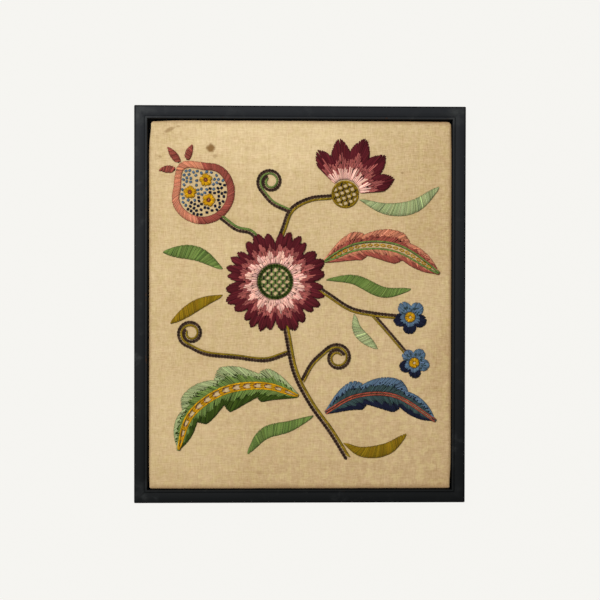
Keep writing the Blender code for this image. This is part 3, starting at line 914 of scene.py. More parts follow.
@dataclass
class Needlework:
    """The yarns and the padding of one piece, collected in millimetres before they become a mesh."""

    name: str
    seed: int
    yarns: list[tuple[np.ndarray, np.ndarray, np.ndarray]] = field(default_factory=list)
    pads: list[tuple[np.ndarray, np.ndarray, int]] = field(default_factory=list)

    DIP = LINEN_FACE - 0.25
    SEAT = LINEN_FACE + 0.4
    STEPS = (0.0, 0.05, 0.2, 0.5, 0.8, 0.95, 1.0)
    PINCH = (0.7, 0.85, 1.0, 1.0, 1.0, 0.85, 0.7)
    LINK = ((0.0, 0.0), (0.18, 0.5), (0.45, 0.95), (0.78, 1.0), (1.02, 0.55), (1.1, 0.0))
    CHAIN_CLIMB = (-0.3, 0.05, 0.25, 0.35, 0.3, 0.22)
    LOOP_CLIMB = (-0.5, 0.1, 0.2, 0.2, 0.15, 0.1)
    LEAST_STITCH = 0.9
    SPECK = 1.5
    BED_SHADE = 0.5

    def __post_init__(self) -> None:
        """Seeds the piece's own random numbers."""
        self.random = np.random.default_rng(self.seed)

    def shades(self, wool: Wool, count: int, spread: float = 0.12) -> np.ndarray:
        """The linear dyes of several yarns, uneven as hand-dyed wool is, straying so far in lightness.

        Args:
            wool: Their dye.
            count: How many yarns there are.
            spread: How far they stray.

        Returns:
            Their dyes, one row each.
        """
        light = np.exp(self.random.normal(0, spread, (count, 1)))
        tint = np.exp(self.random.normal(0, 0.03, (count, 3)))
        return wool.dye * light * tint

    def stitches(
        self, starts: np.ndarray, ends: np.ndarray, dyes: np.ndarray, level: float = 0.0, girth: float = 1.0
    ) -> None:
        """Straight stitches, each of which comes up and goes down through the linen.

        Args:
            starts: Where each comes up.
            ends: Where each goes down.
            dyes: The dye of each.
            level: How far they lie over the linen's own level.
            girth: Their thickness, as a share of the yarn's.
        """
        steps = np.array(self.STEPS)
        rise = 1 - np.abs(2 * steps - 1) ** 5
        for start, end, dye in zip(starts, ends, dyes):
            span = float(np.linalg.norm(end - start))
            if span < self.LEAST_STITCH:
                continue
            crown = min(0.06 * span, 0.75)
            seat = self.SEAT + crown + level + (girth - 1) * YarnTree.YARN_RADIUS * 0.5
            flat = start + (end - start) * steps[:, None]
            girths = np.array(self.PINCH) * girth * self.random.uniform(0.93, 1.07)
            self.yarns.append((np.column_stack([flat, self.DIP + (seat - self.DIP) * rise]), girths, dye))

    def stitch(self, start: np.ndarray, end: np.ndarray, wool: Wool, level: float, girth: float) -> None:
        """One straight stitch of a dye."""
        self.stitches(start[None], end[None], self.shades(wool, 1), level, girth)

    def fill(self, strip: Strip, band: Band) -> None:
        """Fills a row of a strip with stitches across it.

        Args:
            strip: The strip.
            band: The row.
        """
        joins = np.linspace(band.start, band.end, band.rows + 1)
        for row, (first, last) in enumerate(zip(joins, joins[1:])):
            gauge = (first + last) / 2 if band.gauge is None else band.gauge
            count = max(2, round(strip.length(gauge) / band.lay.spacing))
            along = (np.arange(count) + 0.5 + self.random.uniform(-0.16, 0.16, count)) / count
            drift = band.lean * (last - first) / (band.end - band.start)
            drift = drift + self.random.uniform(-0.25, 0.25, count) / count
            low_stray, high_stray = self.random.uniform(-1, 1, (2, count))
            low = first + low_stray * (band.ragged_join if row else band.ragged_start)
            low -= band.ragged_join * (row > 0)
            high = last + high_stray * (band.ragged_join if row < band.rows - 1 else band.ragged_end)
            if row == band.rows - 1:
                high += (1 - 4 * np.abs(along * band.tongues % 1.0 - 0.5)) * band.tongue_depth
            along = along + band.lean * (first - band.start)
            starts = strip.at(along, np.clip(low, 0, 1))
            ends = strip.at(along + drift, np.clip(high, 0, 1))
            self.stitches(starts, ends, self.shades(band.wool, count, 0.19), band.level, band.lay.girth)

    def speckle(self, strip: Strip, specks: Specks) -> None:
        """Works specks, where stitches of another dye go down between those of a filled strip.

        Args:
            strip: The strip.
            specks: The marks.
        """
        count = round(strip.length(sum(specks.zone) / 2) / specks.gap)
        along = self.random.uniform(0.05, 0.95, count)
        starts = strip.at(along, self.random.uniform(*specks.zone, count))
        way = strip.at(along, 1.0) - starts
        ends = starts + way / np.linalg.norm(way, axis=1)[:, None] * self.SPECK
        self.stitches(starts, ends, self.shades(specks.wool, count), specks.level, 0.9)

    def padding(self, strip: Strip, wools: Sequence[Wool], step: float = 2.0) -> None:
        """A low bed under a filled strip, darkened as painted shade that shows between its yarns.

        Args:
            strip: The strip.
            wools: Its dyes from its inner edge to its outer.
            step: The bed's fineness along the strip.
        """
        side, middle = LINEN_FACE + 0.1, LINEN_FACE + 0.14
        bed = {0.02: self.DIP, 0.2: side, 0.5: middle, 0.8: side, 0.98: self.DIP}
        along = np.linspace(0, 1, max(3, round(strip.length(0.5) / step) + 1))
        rows = [
            np.column_stack([strip.at(along, share), np.full(len(along), height)])
            for share, height in bed.items()
        ]
        # Painted shade: the bed takes half the dye of the yarns above it.
        under = [wools[int(share * len(wools))].dye * self.BED_SHADE for share in bed]
        self.pads.append((np.vstack(rows), np.repeat(under, len(along), axis=0), len(along)))

    def layers(self, strip: Strip, bed: Sequence[Wool], *rows: Band | Specks, step: float = 2.0) -> None:
        """Pads a strip and works rows over its padding.

        Args:
            strip: The strip.
            bed: The padding's dyes.
            rows: The rows, the lowest first.
            step: The padding's fineness along the strip.
        """
        self.padding(strip, bed, step)
        for row in rows:
            if isinstance(row, Band):
                self.fill(strip, row)
            else:
                self.speckle(strip, row)

    def link(self, near: np.ndarray, way: np.ndarray, side: np.ndarray, climb: Sequence[float]) -> np.ndarray:
        """The points of one open link, as long and as wide as its ways, that climbs off the linen.

        Args:
            near: Where it starts.
            way: The way to its end, with its length.
            side: The way across it, with half its width.
            climb: How high the first half of its points lie.

        Returns:
            The link's points, one row each.
        """
        loop = np.array([*self.LINK, *((forward, -aside) for forward, aside in self.LINK[-2::-1])])
        heights = self.SEAT + np.array([*climb, *climb[-2::-1]])
        return np.column_stack([near + loop[:, :1] * way + loop[:, 1:] * side, heights])

    def chain(self, line: np.ndarray, half_width: float, pitch: float, wool: Wool) -> None:
        """A row of chain stitch.

        Args:
            line: The line that it follows.
            half_width: Half the row's width, outside its yarns.
            pitch: The length of a link.
            wool: Its dye.
        """
        girth = 1.25
        self.padding(Strip.along(line, half_width * 0.6), (wool,))
        count = max(1, round(line_length(line) / pitch))
        ends = at_shares(line, np.linspace(0, 1, count + 1))
        reach = half_width - YarnTree.YARN_RADIUS * girth
        for near, far, dye in zip(ends, ends[1:], self.shades(wool, count, 0.24)):
            way = far - near
            side = np.array([-way[1], way[0]]) / np.linalg.norm(way) * reach * self.random.uniform(0.88, 1.08)
            points = self.link(near, way, side, self.CHAIN_CLIMB)
            points[:, 2] += self.random.uniform(-0.05, 0.05)
            self.yarns.append((points, np.full(len(points), girth), dye))

    def rope(
        self,
        line: np.ndarray,
        width: float,
        wool: Wool,
        reach: float = 4.6,
        step: float = 1.8,
        level: float = 0.0,
    ) -> None:
        """A row of stem stitch: slanted stitches that overlap like the strands of a rope.

        Args:
            line: The line that it follows.
            width: The row's width, outside its yarns.
            wool: Its dye.
            reach: The length of a stitch.
            step: How far each is ahead of the last.
            level: How far it lies over the linen's own level.
        """
        length = line_length(line)
        first = np.arange(0, max(length - step, step), step)
        girth = min(1.45, width / 2 / YarnTree.YARN_RADIUS)
        offset = max(width / 2 - YarnTree.YARN_RADIUS * girth, 0.05)
        starts = at_shares(beside(line, -offset), first / length)
        ends = at_shares(beside(line, offset), np.minimum(first + reach, length) / length)
        self.stitches(starts, ends, self.shades(wool, len(first), 0.2), level, girth)

    def two_rows(self, line: np.ndarray, width: float, chained: float, link: float, second: Wool) -> None:
        """A brown row of chain stitch beside a row of stem stitch.

        Args:
            line: The line between the pair's outer edges.
            width: The pair's width.
            chained: How much of it the chain takes.
            link: The length of a link.
            second: The stem stitch's dye.
        """
        self.chain(beside(line, (width - chained) / 2), chained / 2, link, Wool.BROWN)
        self.rope(beside(line, -chained / 2), width - chained, second)

    def knot(self, centre: np.ndarray, wool: Wool, radius: float) -> None:
        """A French knot: the yarn wound round itself and drawn down.

        Args:
            centre: Where it stands.
            wool: Its dye.
            radius: The radius of its winding.
        """
        angles = np.linspace(0, 1.6 * math.tau, 13) + self.random.uniform(0, math.tau)
        flat = polar(centre, radius * np.linspace(1.0, 0.35, 13), angles)
        heights = self.SEAT + np.linspace(-0.1, 0.75, 13)
        self.yarns.append((np.column_stack([flat, heights]), np.full(13, 0.85), self.shades(wool, 1)[0]))

    def knots(self, centre: Point | np.ndarray, ring: float, wool: Wool, radius: float) -> None:
        """Five knots in a ring."""
        for angle in np.linspace(0, math.tau, 6)[:-1]:
            self.knot(polar(centre, ring, angle), wool, radius)

    def daisy(self, root: np.ndarray, tip: np.ndarray, width: float, wool: Wool) -> None:
        """A lazy-daisy stitch: one open loop, held down by a short stitch over its tip.

        Args:
            root: Where it starts and ends.
            tip: Its far end.
            width: Its width, between its yarns.
            wool: Its dye.
        """
        way = tip - root
        side = np.array([-way[1], way[0]]) / np.linalg.norm(way) * width / 2
        points = self.link(root, way / self.LINK[-1][0], side, self.LOOP_CLIMB)
        dyes = self.shades(wool, 2)
        self.yarns.append((points, np.full(len(points), 0.9), dyes[0]))
        self.stitches((root + way * 0.86)[None], (root + way * 1.2)[None], dyes[1:], 0.25, 0.85)

    def trellis(self, centre: Point, radius: float, lattice: Wool, turn: float) -> None:
        """A round of laid trellis: yarns laid both ways in pairs, tied down where they cross.

        Args:
            centre: Its centre.
            radius: Its radius.
            lattice: The laid yarns' dye.
            turn: The way of the first yarns, in degrees.
        """
        spacing = 5.2
        middle = np.array(centre)
        ways = [polar((0, 0), 1, math.radians(turn + quarter)) for quarter in (0, 90)]
        offsets = np.arange(-math.floor(radius / spacing), math.floor(radius / spacing) + 1) * spacing
        for level, (way, across) in enumerate((ways, ways[::-1])):
            for aside in (offset + pair for offset in offsets for pair in (-0.44, 0.44)):
                half = math.sqrt(max(radius**2 - aside**2, 0))
                if half > 1.5:
                    place = middle + across * aside
                    self.stitch(place - half * way, place + half * way, lattice, 0.1 + 0.35 * level, 0.92)
        slant = (ways[0] + ways[1]) * 1.15
        for place in (middle + ways[0] * first + ways[1] * second for first in offsets for second in offsets):
            if np.linalg.norm(place - middle) < radius - 1.2:
                self.stitch(place - slant, place + slant, Wool.UMBER, 0.75, 1.6)

    def mesh(self) -> bpy.types.Mesh:
        """The yarns' edges and the padding's faces as one mesh, in metres, with their attributes.

        Returns:
            The mesh.
        """
        places = [line for line, _, _ in self.yarns] + [grid for grid, _, _ in self.pads]
        girths = [girth for _, girth, _ in self.yarns] + [np.ones(len(grid)) for grid, _, _ in self.pads]
        dyes = [np.tile(dye, (len(line), 1)) for line, _, dye in self.yarns]
        dyes += [dye for _, dye, _ in self.pads]
        runs = []
        edges: list[tuple[int, int]] = []
        first = 0
        for line, _, _ in self.yarns:
            steps = np.linalg.norm(np.diff(line, axis=0), axis=1)
            runs.append(np.concatenate([[0], np.cumsum(steps)]) + self.random.uniform(0, 3))
            edges += [(index, index + 1) for index in range(first, first + len(line) - 1)]
            first += len(line)
        faces: list[tuple[int, ...]] = []
        for grid, _, columns in self.pads:
            runs.append(np.zeros(len(grid)))
            for corner in range(first, first + len(grid) - columns):
                if (corner - first + 1) % columns:
                    faces.append((corner, corner + 1, corner + columns + 1, corner + columns))
            first += len(grid)
        made = bpy.data.meshes.new(f"{self.name}_stitches")
        made.from_pydata((np.vstack(places) * MM).tolist(), edges, faces)
        colours = np.column_stack([np.vstack(dyes), np.ones(first)]).astype(np.float32)
        made.attributes.new("dye", "FLOAT_COLOR", "POINT").data.foreach_set("color", colours.ravel())
        for name, values in (("girth", np.concatenate(girths)), ("run", np.concatenate(runs) * MM)):
            made.attributes.new(name, "FLOAT", "POINT").data.foreach_set("value", values.astype(np.float32))
        return made

    def sewn(self, loom: YarnTree, slot: str, *nodes: str) -> None:
        """Makes the finished piece, which stands for CAD nodes."""
        settled(loom.worked(self.name, self.mesh()), nodes)


# Embroidered motifs


@dataclass(frozen=True)
class Stem:
    """A stem's name, width, route, the dye of its second row, and how far it runs on under its neighbours."""

    name: str
    width: float
    route: tuple[Point, ...]
    second: Wool
    tucks: Point


@dataclass
class Stems:
    """The stems: a brown row of chain stitch beside a green or olive row of stem stitch."""

    stems: tuple[Stem, ...] = (
        Stem(
            "main_stem",
            6.8,
            ((46, -148), (30, -122), (10, -94), (-5, -64), (-12.6, -27.2)),
            Wool.MOSS,
            (0, 8),
        ),
        Stem("fan_flower_stem", 5.8, ((-16.2, 72.4), (-8.5, 91), (9, 101), (28.6, 103.4)), Wool.MOSS, (9, 2)),
        Stem("fruit_stem", 5.8, ((-40, 62), (-48, 70), (-61, 73), (-74.3, 82.7)), Wool.GREEN, (0, 2)),
        Stem("blue_flowers_stem", 5.4, ((25.9, 10.1), (48, -4), (70, -9), (89.3, -11.2)), Wool.MOSS, (10, 3)),
        Stem("low_blue_flower_stem", 4.6, ((74.8, -15.1), (87, -29), (99.7, -43.8)), Wool.MOSS, (6.4, 3)),
    )
    steps: int = 12
    chain_share: float = 0.5
    link: float = 3.1

    def build(self, loom: YarnTree) -> None:
        """Works each stem.

        Args:
            loom: What makes the pieces.
        """
        for number, stem in enumerate(self.stems):
            work = Needlework(f"{stem.name}_worked", 100 + number)
            line = lengthened(smooth_line(stem.route, self.steps), *stem.tucks)
            work.two_rows(line, stem.width, stem.width * self.chain_share, self.link, stem.second)
            work.sewn(loom, "olive_wool", stem.name)


@dataclass(frozen=True)
class Tendril:
    """A tendril's route, then its curl: centre, first and last radius, first angle in degrees and turns."""

    name: str
    second: Wool
    route: tuple[Point, ...]
    centre: Point
    radii: Point
    first_angle: float
    turns: float


@dataclass
class Tendrils:
    """The tendrils: a brown chain with a thin green or olive row, which end in a curl."""

    left: tuple[Point, ...] = ((-14.3, -47), (-34, -53), (-62, -50), (-90, -47), (-108, -39))
    top: tuple[Point, ...] = ((-13.2, 91.2), (-27, 98), (-39, 112))
    low: tuple[Point, ...] = ((3.6, -70.6), (12, -56), (27, -42))
    tendrils: tuple[Tendril, ...] = (
        Tendril("left_tendril", Wool.MOSS, left, (-105, -27.5), (12.0, 5.4), -105, -1.3),
        Tendril("top_tendril", Wool.GREEN, top, (-29, 118), (11.5, 5.2), 211, -1.25),
        Tendril("low_tendril", Wool.MOSS, low, (36, -51), (12.5, 5.6), 135, -1.3),
    )
    width: float = 5.0
    chain_width: float = 2.9
    steps: int = 8
    curl_steps: int = 30
    link: float = 2.9
    tuck: float = 3.4
    point_gap: float = 1.5

    def build(self, loom: YarnTree) -> None:
        """Works each tendril.

        Args:
            loom: What makes the pieces.
        """
        for number, tendril in enumerate(self.tendrils):
            shares = np.linspace(0, 1, round(abs(tendril.turns) * self.curl_steps) + 1)[1:]
            radii = tendril.radii[0] + (tendril.radii[1] - tendril.radii[0]) * shares
            angles = math.radians(tendril.first_angle) + tendril.turns * math.tau * shares
            curl = polar(tendril.centre, radii, angles)
            route = lengthened(np.vstack([smooth_line(tendril.route, self.steps), curl]), self.tuck, 0.0)
            line = at_shares(route, np.linspace(0, 1, round(line_length(route) / self.point_gap)))
            work = Needlework(f"{tendril.name}_worked", 120 + number)
            work.two_rows(line, self.width, self.chain_width, self.link, tendril.second)
            work.sewn(loom, "olive_wool", tendril.name)


class VeinKind(Enum):
    """How the bare strip down a lobed leaf is worked."""

    LADDER = "gold ladder"
    ROWS = "two rust rows"
    DAISIES = "green rows with gold loops"


@dataclass(frozen=True)
class Half:
    """One half of a lobed leaf: its width, its inner and outer dye, and its slot."""

    width: float
    inner: Wool
    outer: Wool
    slot: str


@dataclass(frozen=True)
class LobedLeaf:
    """A lobed leaf: spine, lobes, their depth, half the vein's width, the vein's kind, and its halves."""

    name: str
    spine: tuple[Point, ...]
    lobes: int
    depth: float
    vein: float
    vein_kind: VeinKind
    left: Half
    right: Half


@dataclass
class LobedLeaves:
    """The lobed leaves: two halves in two tones each, beside a worked vein."""

    leaves: tuple[LobedLeaf, ...] = (
        LobedLeaf(
            "green_leaf",
            ((-1, -88), (-34, -78), (-74, -83), (-105, -106), (-117, -140)),
            4,
            0.44,
            2.3,
            VeinKind.LADDER,
            Half(22, Wool.GREEN, Wool.DARK_GREEN, "dark_green_wool"),
            Half(22, Wool.GREEN, Wool.LIGHT_GREEN, "light_green_wool"),
        ),
        LobedLeaf(
            "blue_leaf",
            ((24, -104), (54, -88), (92, -88), (131, -112)),
            3,
            0.42,
            1.5,
            VeinKind.ROWS,
            Half(17, Wool.TEAL, Wool.BLUE, "blue_wool"),
            Half(17, Wool.TEAL, Wool.NAVY, "navy_wool"),
        ),
        LobedLeaf(
            "rose_leaf",
            ((22.5, 41.5), (56, 56), (94, 54), (134, 30)),
            3,
            0.38,
            2.6,
            VeinKind.DAISIES,
            Half(17, Wool.BRICK, Wool.CORAL, "coral_wool"),
            Half(16, Wool.CORAL, Wool.BRICK, "brick_wool"),
        ),
    )
    FLECKED = {Wool.LIGHT_GREEN: Wool.DARK_GREEN, Wool.BLUE: Wool.NAVY, Wool.CORAL: Wool.BRICK}

    lean: float = 0.34
    lobe_peak: float = 0.76
    lobe_rise: float = 0.8
    lobe_fall: float = 0.7
    leaf_swell: Point = (0.85, 0.8)
    vein_swell: Point = (1.0, 0.6)
    least_vein: float = 0.25
    tip_width: float = 0.8
    slant: float = 0.035
    vein_lap: float = 0.85
    outline_width: float = 2.3
    outline_level: float = 0.8
    rung_pitch: float = 10.2
    stations: int = 241

    def reach(self, leaf: LobedLeaf, shares: np.ndarray, width: float) -> np.ndarray:
        """How far a leaf reaches from its spine at shares of its length, with its reach at its widest lobe.

        Args:
            leaf: The leaf.
            shares: Shares of the way along it.
            width: Its reach at its widest lobe.

        Returns:
            The reach at each share.
        """
        within = shares * leaf.lobes % 1.0
        rising = np.sin(math.pi / 2 * np.minimum(within / self.lobe_peak, 1)) ** self.lobe_rise
        falling = np.clip((1 - within) / (1 - self.lobe_peak), 0, 1) ** self.lobe_fall
        rise = np.where(within < self.lobe_peak, rising, falling)
        return width * swell(shares, self.leaf_swell) * (1 - leaf.depth * (1 - rise))

    def half(self, leaf: LobedLeaf, way: int, width: float) -> Strip:
        """One half of a leaf as a strip: way is 1 to its left and -1 to its right.

        Args:
            leaf: The leaf.
            way: 1 or -1.
            width: Its reach at its widest lobe.

        Returns:
            The strip.
        """
        shares = np.linspace(0, 1, self.stations)
        along, left = directions(line := at_shares(smooth_line(leaf.spine, 24), shares))
        reach = self.reach(leaf, shares, width)[:, None]
        vein = (self.least_vein + leaf.vein * swell(shares, self.vein_swell))[:, None]
        inner = line + left * way * vein
        outer = inner + left * way * np.maximum(reach - vein, self.tip_width) + along * self.lean * reach
        return Strip(inner, outer)

    def work_half(self, loom: YarnTree, leaf: LobedLeaf, side: str, seed: int) -> Strip:
        """Works one half of a leaf.

        Args:
            loom: What makes the piece.
            leaf: The leaf.
            side: Which half, left or right.
            seed: The seed of its random numbers.

        Returns:
            The half's strip.
        """
        half = leaf.left if side == "left" else leaf.right
        strip = self.half(leaf, 1 if side == "left" else -1, half.width)
        work = Needlework(f"{leaf.name}_{side}_worked", seed)
        rim = Band(half.outer, 0.4, 1.0, 0.08, 0.03, 0.0, 0.8, self.slant, lay=FINE)
        lean = self.slant * 0.6
        eye = Band(half.inner, 0.0, 0.52, 0.0, 0.09, 0.2, 0.2, lean, 1, leaf.lobes * 4, 0.15, FINE)
        work.layers(strip, (half.inner, half.outer), rim, eye, step=1.5)
        if half.outer in self.FLECKED:
            work.speckle(strip, Specks(self.FLECKED[half.outer], (0.36, 0.62), 1.5, 1.2))
        work.sewn(loom, half.slot, f"{leaf.name}_{side}")
        return strip

    def work_ladder(self, work: Needlework, bare: Strip, length: float) -> None:
        """Works rungs in gold arrows, each with a touch of rust, over a bare strip of a length.

        Args:
            work: The vein's piece.
            bare: The bare strip.
            length: Its length.
        """
        rungs = np.arange(13.0, length - 13.0, self.rung_pitch) / length
        for step in (0.0, 1.2, 2.4):
            for aside in (0.02, 0.98):
                starts = bare.at(rungs + step / length, aside)
                ends = bare.at(rungs + (step + 2.6) / length, 0.5)
                work.stitches(starts, ends, work.shades(Wool.GOLD, len(rungs)), 0.3, 1.2)
        for aside in (0.2, 0.8):
            starts = bare.at(rungs - 0.9 / length, aside)
            ends = bare.at(rungs + 0.7 / length, aside + (0.5 - aside) * 0.4)
            work.stitches(starts, ends, work.shades(Wool.RUST, len(rungs)), 0.9, 0.8)

    def work_vein(self, loom: YarnTree, leaf: LobedLeaf, halves: Sequence[Strip], seed: int) -> None:
        """Works the strip between a leaf's halves.

        Args:
            loom: What makes the piece.
            leaf: The leaf.
            halves: Its left and its right half.
            seed: The seed of its random numbers.
        """
        work = Needlework(f"{leaf.name}_vein", seed)
        edges = []
        for strip in halves:
            across = strip.outer - strip.inner
            room = np.linalg.norm(across, axis=1)[:, None]
            edges.append(strip.inner + across / room * np.minimum(self.vein_lap, room * 0.12))
        bare = Strip(*edges)
        middle = (halves[0].inner + halves[1].inner) / 2
        length = line_length(middle)
        if leaf.vein_kind is VeinKind.ROWS:
            for aside in (-1.1, 1.1):
                work.rope(beside(middle[1:-1], aside), 2.0, Wool.RUST, level=0.5)
        else:
            outline = Wool.GOLD if leaf.vein_kind is VeinKind.LADDER else Wool.GREEN
            for edge in edges:
                work.rope(edge[1:-1], self.outline_width, outline, level=self.outline_level)
        if leaf.vein_kind is VeinKind.LADDER:
            self.work_ladder(work, bare, length)
        if leaf.vein_kind is VeinKind.DAISIES:
            for share in np.arange(8.0, length - 12.0, 6.2) / length:
                work.daisy(*bare.at(np.array([share, share + 4.2 / length]), 0.5), 2.0, Wool.GOLD)
        work.sewn(loom, "coral_wool" if leaf.vein_kind is VeinKind.ROWS else "gold_wool")

    def build(self, loom: YarnTree) -> None:
        """Works each leaf.

        Args:
            loom: What makes the pieces.
        """
        for number, leaf in enumerate(self.leaves):
            left = self.work_half(loom, leaf, "left", 140 + number)
            right = self.work_half(loom, leaf, "right", 150 + number)
            self.work_vein(loom, leaf, (left, right), 160 + number)


@dataclass(frozen=True)
class SickleLeaf:
    """A sickle leaf's name, dye, width and spine."""

    name: str
    wool: Wool
    width: float
    spine: tuple[Point, ...]


@dataclass
class SickleLeaves:
    """The sickle leaves, each in slanted satin stitch."""

    leaves: tuple[SickleLeaf, ...] = (
        SickleLeaf("left_upper_sickle", Wool.GREEN, 14, ((-74.4, 34), (-100, 49), (-131, 50))),
        SickleLeaf("left_lower_sickle", Wool.OLIVE, 11, ((-74.4, 9), (-98, 0), (-124, -18))),
        SickleLeaf("stem_left_sickle", Wool.GREEN, 12, ((13, -107), (-10, -117), (-34, -124), (-50, -143))),
        SickleLeaf("stem_right_sickle", Wool.OLIVE, 12, ((42, -133.2), (60, -142), (84, -139), (102, -125))),
        SickleLeaf("fan_low_sickle", Wool.LIGHT_GREEN, 13, ((57, 101), (84, 92), (110, 95), (133, 113))),
        SickleLeaf("rim_right_sickle", Wool.GREEN, 11, ((25, 24), (52, 24), (80, 12), (106, 15))),
        SickleLeaf("blue_stem_sickle", Wool.LIGHT_GREEN, 10, ((52, -9), (56, -26), (74, -42))),
    )
    swell: Point = (1.15, 0.7)
    tip_width: float = 0.8
    slant: float = 4.6
    stations: int = 121

    def build(self, loom: YarnTree) -> None:
        """Works each leaf.

        Args:
            loom: What makes the pieces.
        """
        shares = np.linspace(0, 1, self.stations)
        for number, leaf in enumerate(self.leaves):
            line = at_shares(smooth_line(leaf.spine, 24), shares)
            half = np.maximum(leaf.width / 2 * swell(shares, self.swell), self.tip_width / 2)
            satin = Band(leaf.wool, ragged_start=0.02, lean=self.slant / line_length(line), lay=SATIN)
            work = Needlework(f"{leaf.name}_worked", 180 + number)
            work.layers(Strip.along(line, half), (leaf.wool,), satin)
            work.sewn(loom, f"{leaf.wool.name.lower()}_wool", leaf.name)


PETAL_BED = (Wool.PINK, Wool.ROSE, Wool.BURGUNDY)


@dataclass
class RoundFlower:
    """The round flower: notched petals in three tones, a ring of chain stitch and a trellis centre."""

    centre: Point = (-24.0, 22.0)
    radius: float = 51.0
    petals: int = 8
    petal_depth: float = 0.24
    notch_depth: float = 0.06
    notch_width: float = 0.1
    point_depth: float = 0.13
    point_round: float = 0.75
    petal_swell: Point = (1.0, 0.45)
    margin: float = 0.013
    inner_radius: float = 17.6
    ring_radius: float = 15.4
    ring_width: float = 3.6
    trellis_radius: float = 13.8
    stations: int = 81
    rows: tuple[Band | Specks, ...] = (
        Band(Wool.BURGUNDY, 0.52, 1.0, 0.1, 0.03, 0.5, 0.8),
        Band(Wool.ROSE, 0.24, 0.64, 0.06, 0.08, 0.6, None, 0.0, 2, 3, 0.1),
        Specks(Wool.BURGUNDY, (0.42, 0.66), 2.2, 1.5),
        Band(Wool.PINK, 0.0, 0.37, 0.0, 0.04, 0.8, None, 0.0, 2, 2, 0.14),
        Specks(Wool.ROSE, (0.12, 0.36), 1.8, 1.6),
    )

    def reach(self, shares: np.ndarray, points: int) -> np.ndarray:
        """How far a petal reaches at shares of its width: rounded, with a notch and a few points.

        Args:
            shares: Shares of the petal's width.
            points: How many points it has.

        Returns:
            The reach at each share.
        """
        rise = self.petal_depth * (swell(shares, self.petal_swell) - 1)
        notches = self.point_depth * (1 - np.abs(np.sin(math.pi * points * shares)) ** self.point_round)
        dent = self.notch_depth * bell(shares - 0.5, self.notch_width) * (points % 2 == 0)
        return self.radius * (1 + rise - notches - dent)

    def build(self, loom: YarnTree) -> None:
        """Works the petals in long-and-short stitch, from the rim inwards, then the ring and the trellis.

        Args:
            loom: What makes the pieces.
        """
        work = Needlework("round_flower_petals", 200)
        shares = np.linspace(self.margin, 1 - self.margin, self.stations)
        strips = []
        for petal in range(self.petals):
            angles = math.tau / self.petals * (petal + shares)
            reach = self.reach(shares, 3 + petal % 2) * work.random.uniform(0.965, 1.02)
            strips.append(Strip.round(self.centre, self.inner_radius, reach, angles))
        for strip in strips:
            work.layers(strip, PETAL_BED, *self.rows)
        nodes = [f"round_flower_petal_{petal + 1}" for petal in range(self.petals)]
        work.sewn(loom, "burgundy_wool", *nodes)
        work = Needlework("round_flower_ring_worked", 210)
        circle = polar(self.centre, self.ring_radius, np.linspace(0, math.tau, 97))
        work.chain(circle, self.ring_width / 2, 2.6, Wool.DARK_GREEN)
        work.sewn(loom, "dark_green_wool", "round_flower_ring")
        work = Needlework("round_flower_trellis_worked", 211)
        work.trellis(self.centre, self.trellis_radius, Wool.GREEN, 45.0)
        work.sewn(loom, "light_green_wool", "round_flower_trellis")


@dataclass
class FanFlower:
    """The fan flower: pointed petals in three tones that open from a trellis cup."""

    centre: Point = (43.0, 106.0)
    heading: float = 70.0
    step: float = 26.0
    lengths: tuple[float, ...] = (50.0, 54.0, 57.0, 54.0, 50.0)
    inner: float = 14.4
    side_gap: float = 0.3
    shoulder: float = 2.2
    point: float = 0.75
    tip_width: float = 0.8
    cup_radius: float = 13.6
    stations: int = 61
    rim_start: float = 0.42
    rim_stations: int = 41
    rows: tuple[Band | Specks, ...] = (
        Band(Wool.BURGUNDY, 0.5, 1.0, 0.1, 0.01, 0.1, 0.8),
        Band(Wool.ROSE, 0.24, 0.66, 0.06, 0.07, 0.3, None, 0.0, 2, 3, 0.1),
        Specks(Wool.BURGUNDY, (0.4, 0.66), 2.4, 1.25),
        Band(Wool.PINK, 0.0, 0.36, 0.0, 0.05, 0.5, None, 0.0, 1, 2, 0.12),
        Specks(Wool.ROSE, (0.1, 0.34), 2.4, 1.45),
    )

    def petal(self, heading: float, length: float) -> Strip:
        """A pointed petal of a length, at a heading in radians, as a strip from its root to its rim.

        Args:
            heading: Its way from the flower's centre.
            length: Its reach from there.

        Returns:
            The strip.
        """
        along = polar((0, 0), 1, heading)
        across = np.array([-along[1], along[0]])
        shares = np.linspace(0, 1, self.stations)
        reach = self.inner + (length - self.inner) * shares
        room = reach * math.tan(math.radians(self.step / 2)) - self.side_gap
        half = np.minimum(room, room * self.shoulder * (1 - shares) ** self.point)
        half = np.maximum(half, self.tip_width / 2)[:, None]
        middle = np.array(self.centre) + along * reach[:, None]
        left, right = middle + across * half, middle - across * half
        first = int(self.stations * self.rim_start)
        rim = np.vstack([right[first:], left[first:][::-1]])
        wanted = np.linspace(0, 1, self.rim_stations)
        return Strip(at_shares(np.vstack([right[:1], left[:1]]), wanted), at_shares(rim, wanted))

    def build(self, loom: YarnTree) -> None:
        """Works the petals and the cup.

        Args:
            loom: What makes the pieces.
        """
        first = self.heading - self.step * (len(self.lengths) - 1) / 2
        work = Needlework("fan_flower_petals", 220)
        for number, length in enumerate(self.lengths):
            petal = self.petal(math.radians(first + self.step * number), length)
            work.layers(petal, PETAL_BED, *self.rows)
        nodes = [f"fan_flower_petal_{number + 1}" for number in range(len(self.lengths))]
        work.sewn(loom, "burgundy_wool", *nodes)
        cup = Needlework("fan_flower_cup_worked", 230)
        circle = polar(self.centre, self.cup_radius - 1.2, np.linspace(0, math.tau, 81))
        cup.trellis(self.centre, self.cup_radius - 1.8, Wool.OLIVE, 20.0)
        cup.rope(circle, 2.4, Wool.OLIVE, 4.0, 1.6)
        cup.sewn(loom, "gold_wool", "fan_flower_cup")


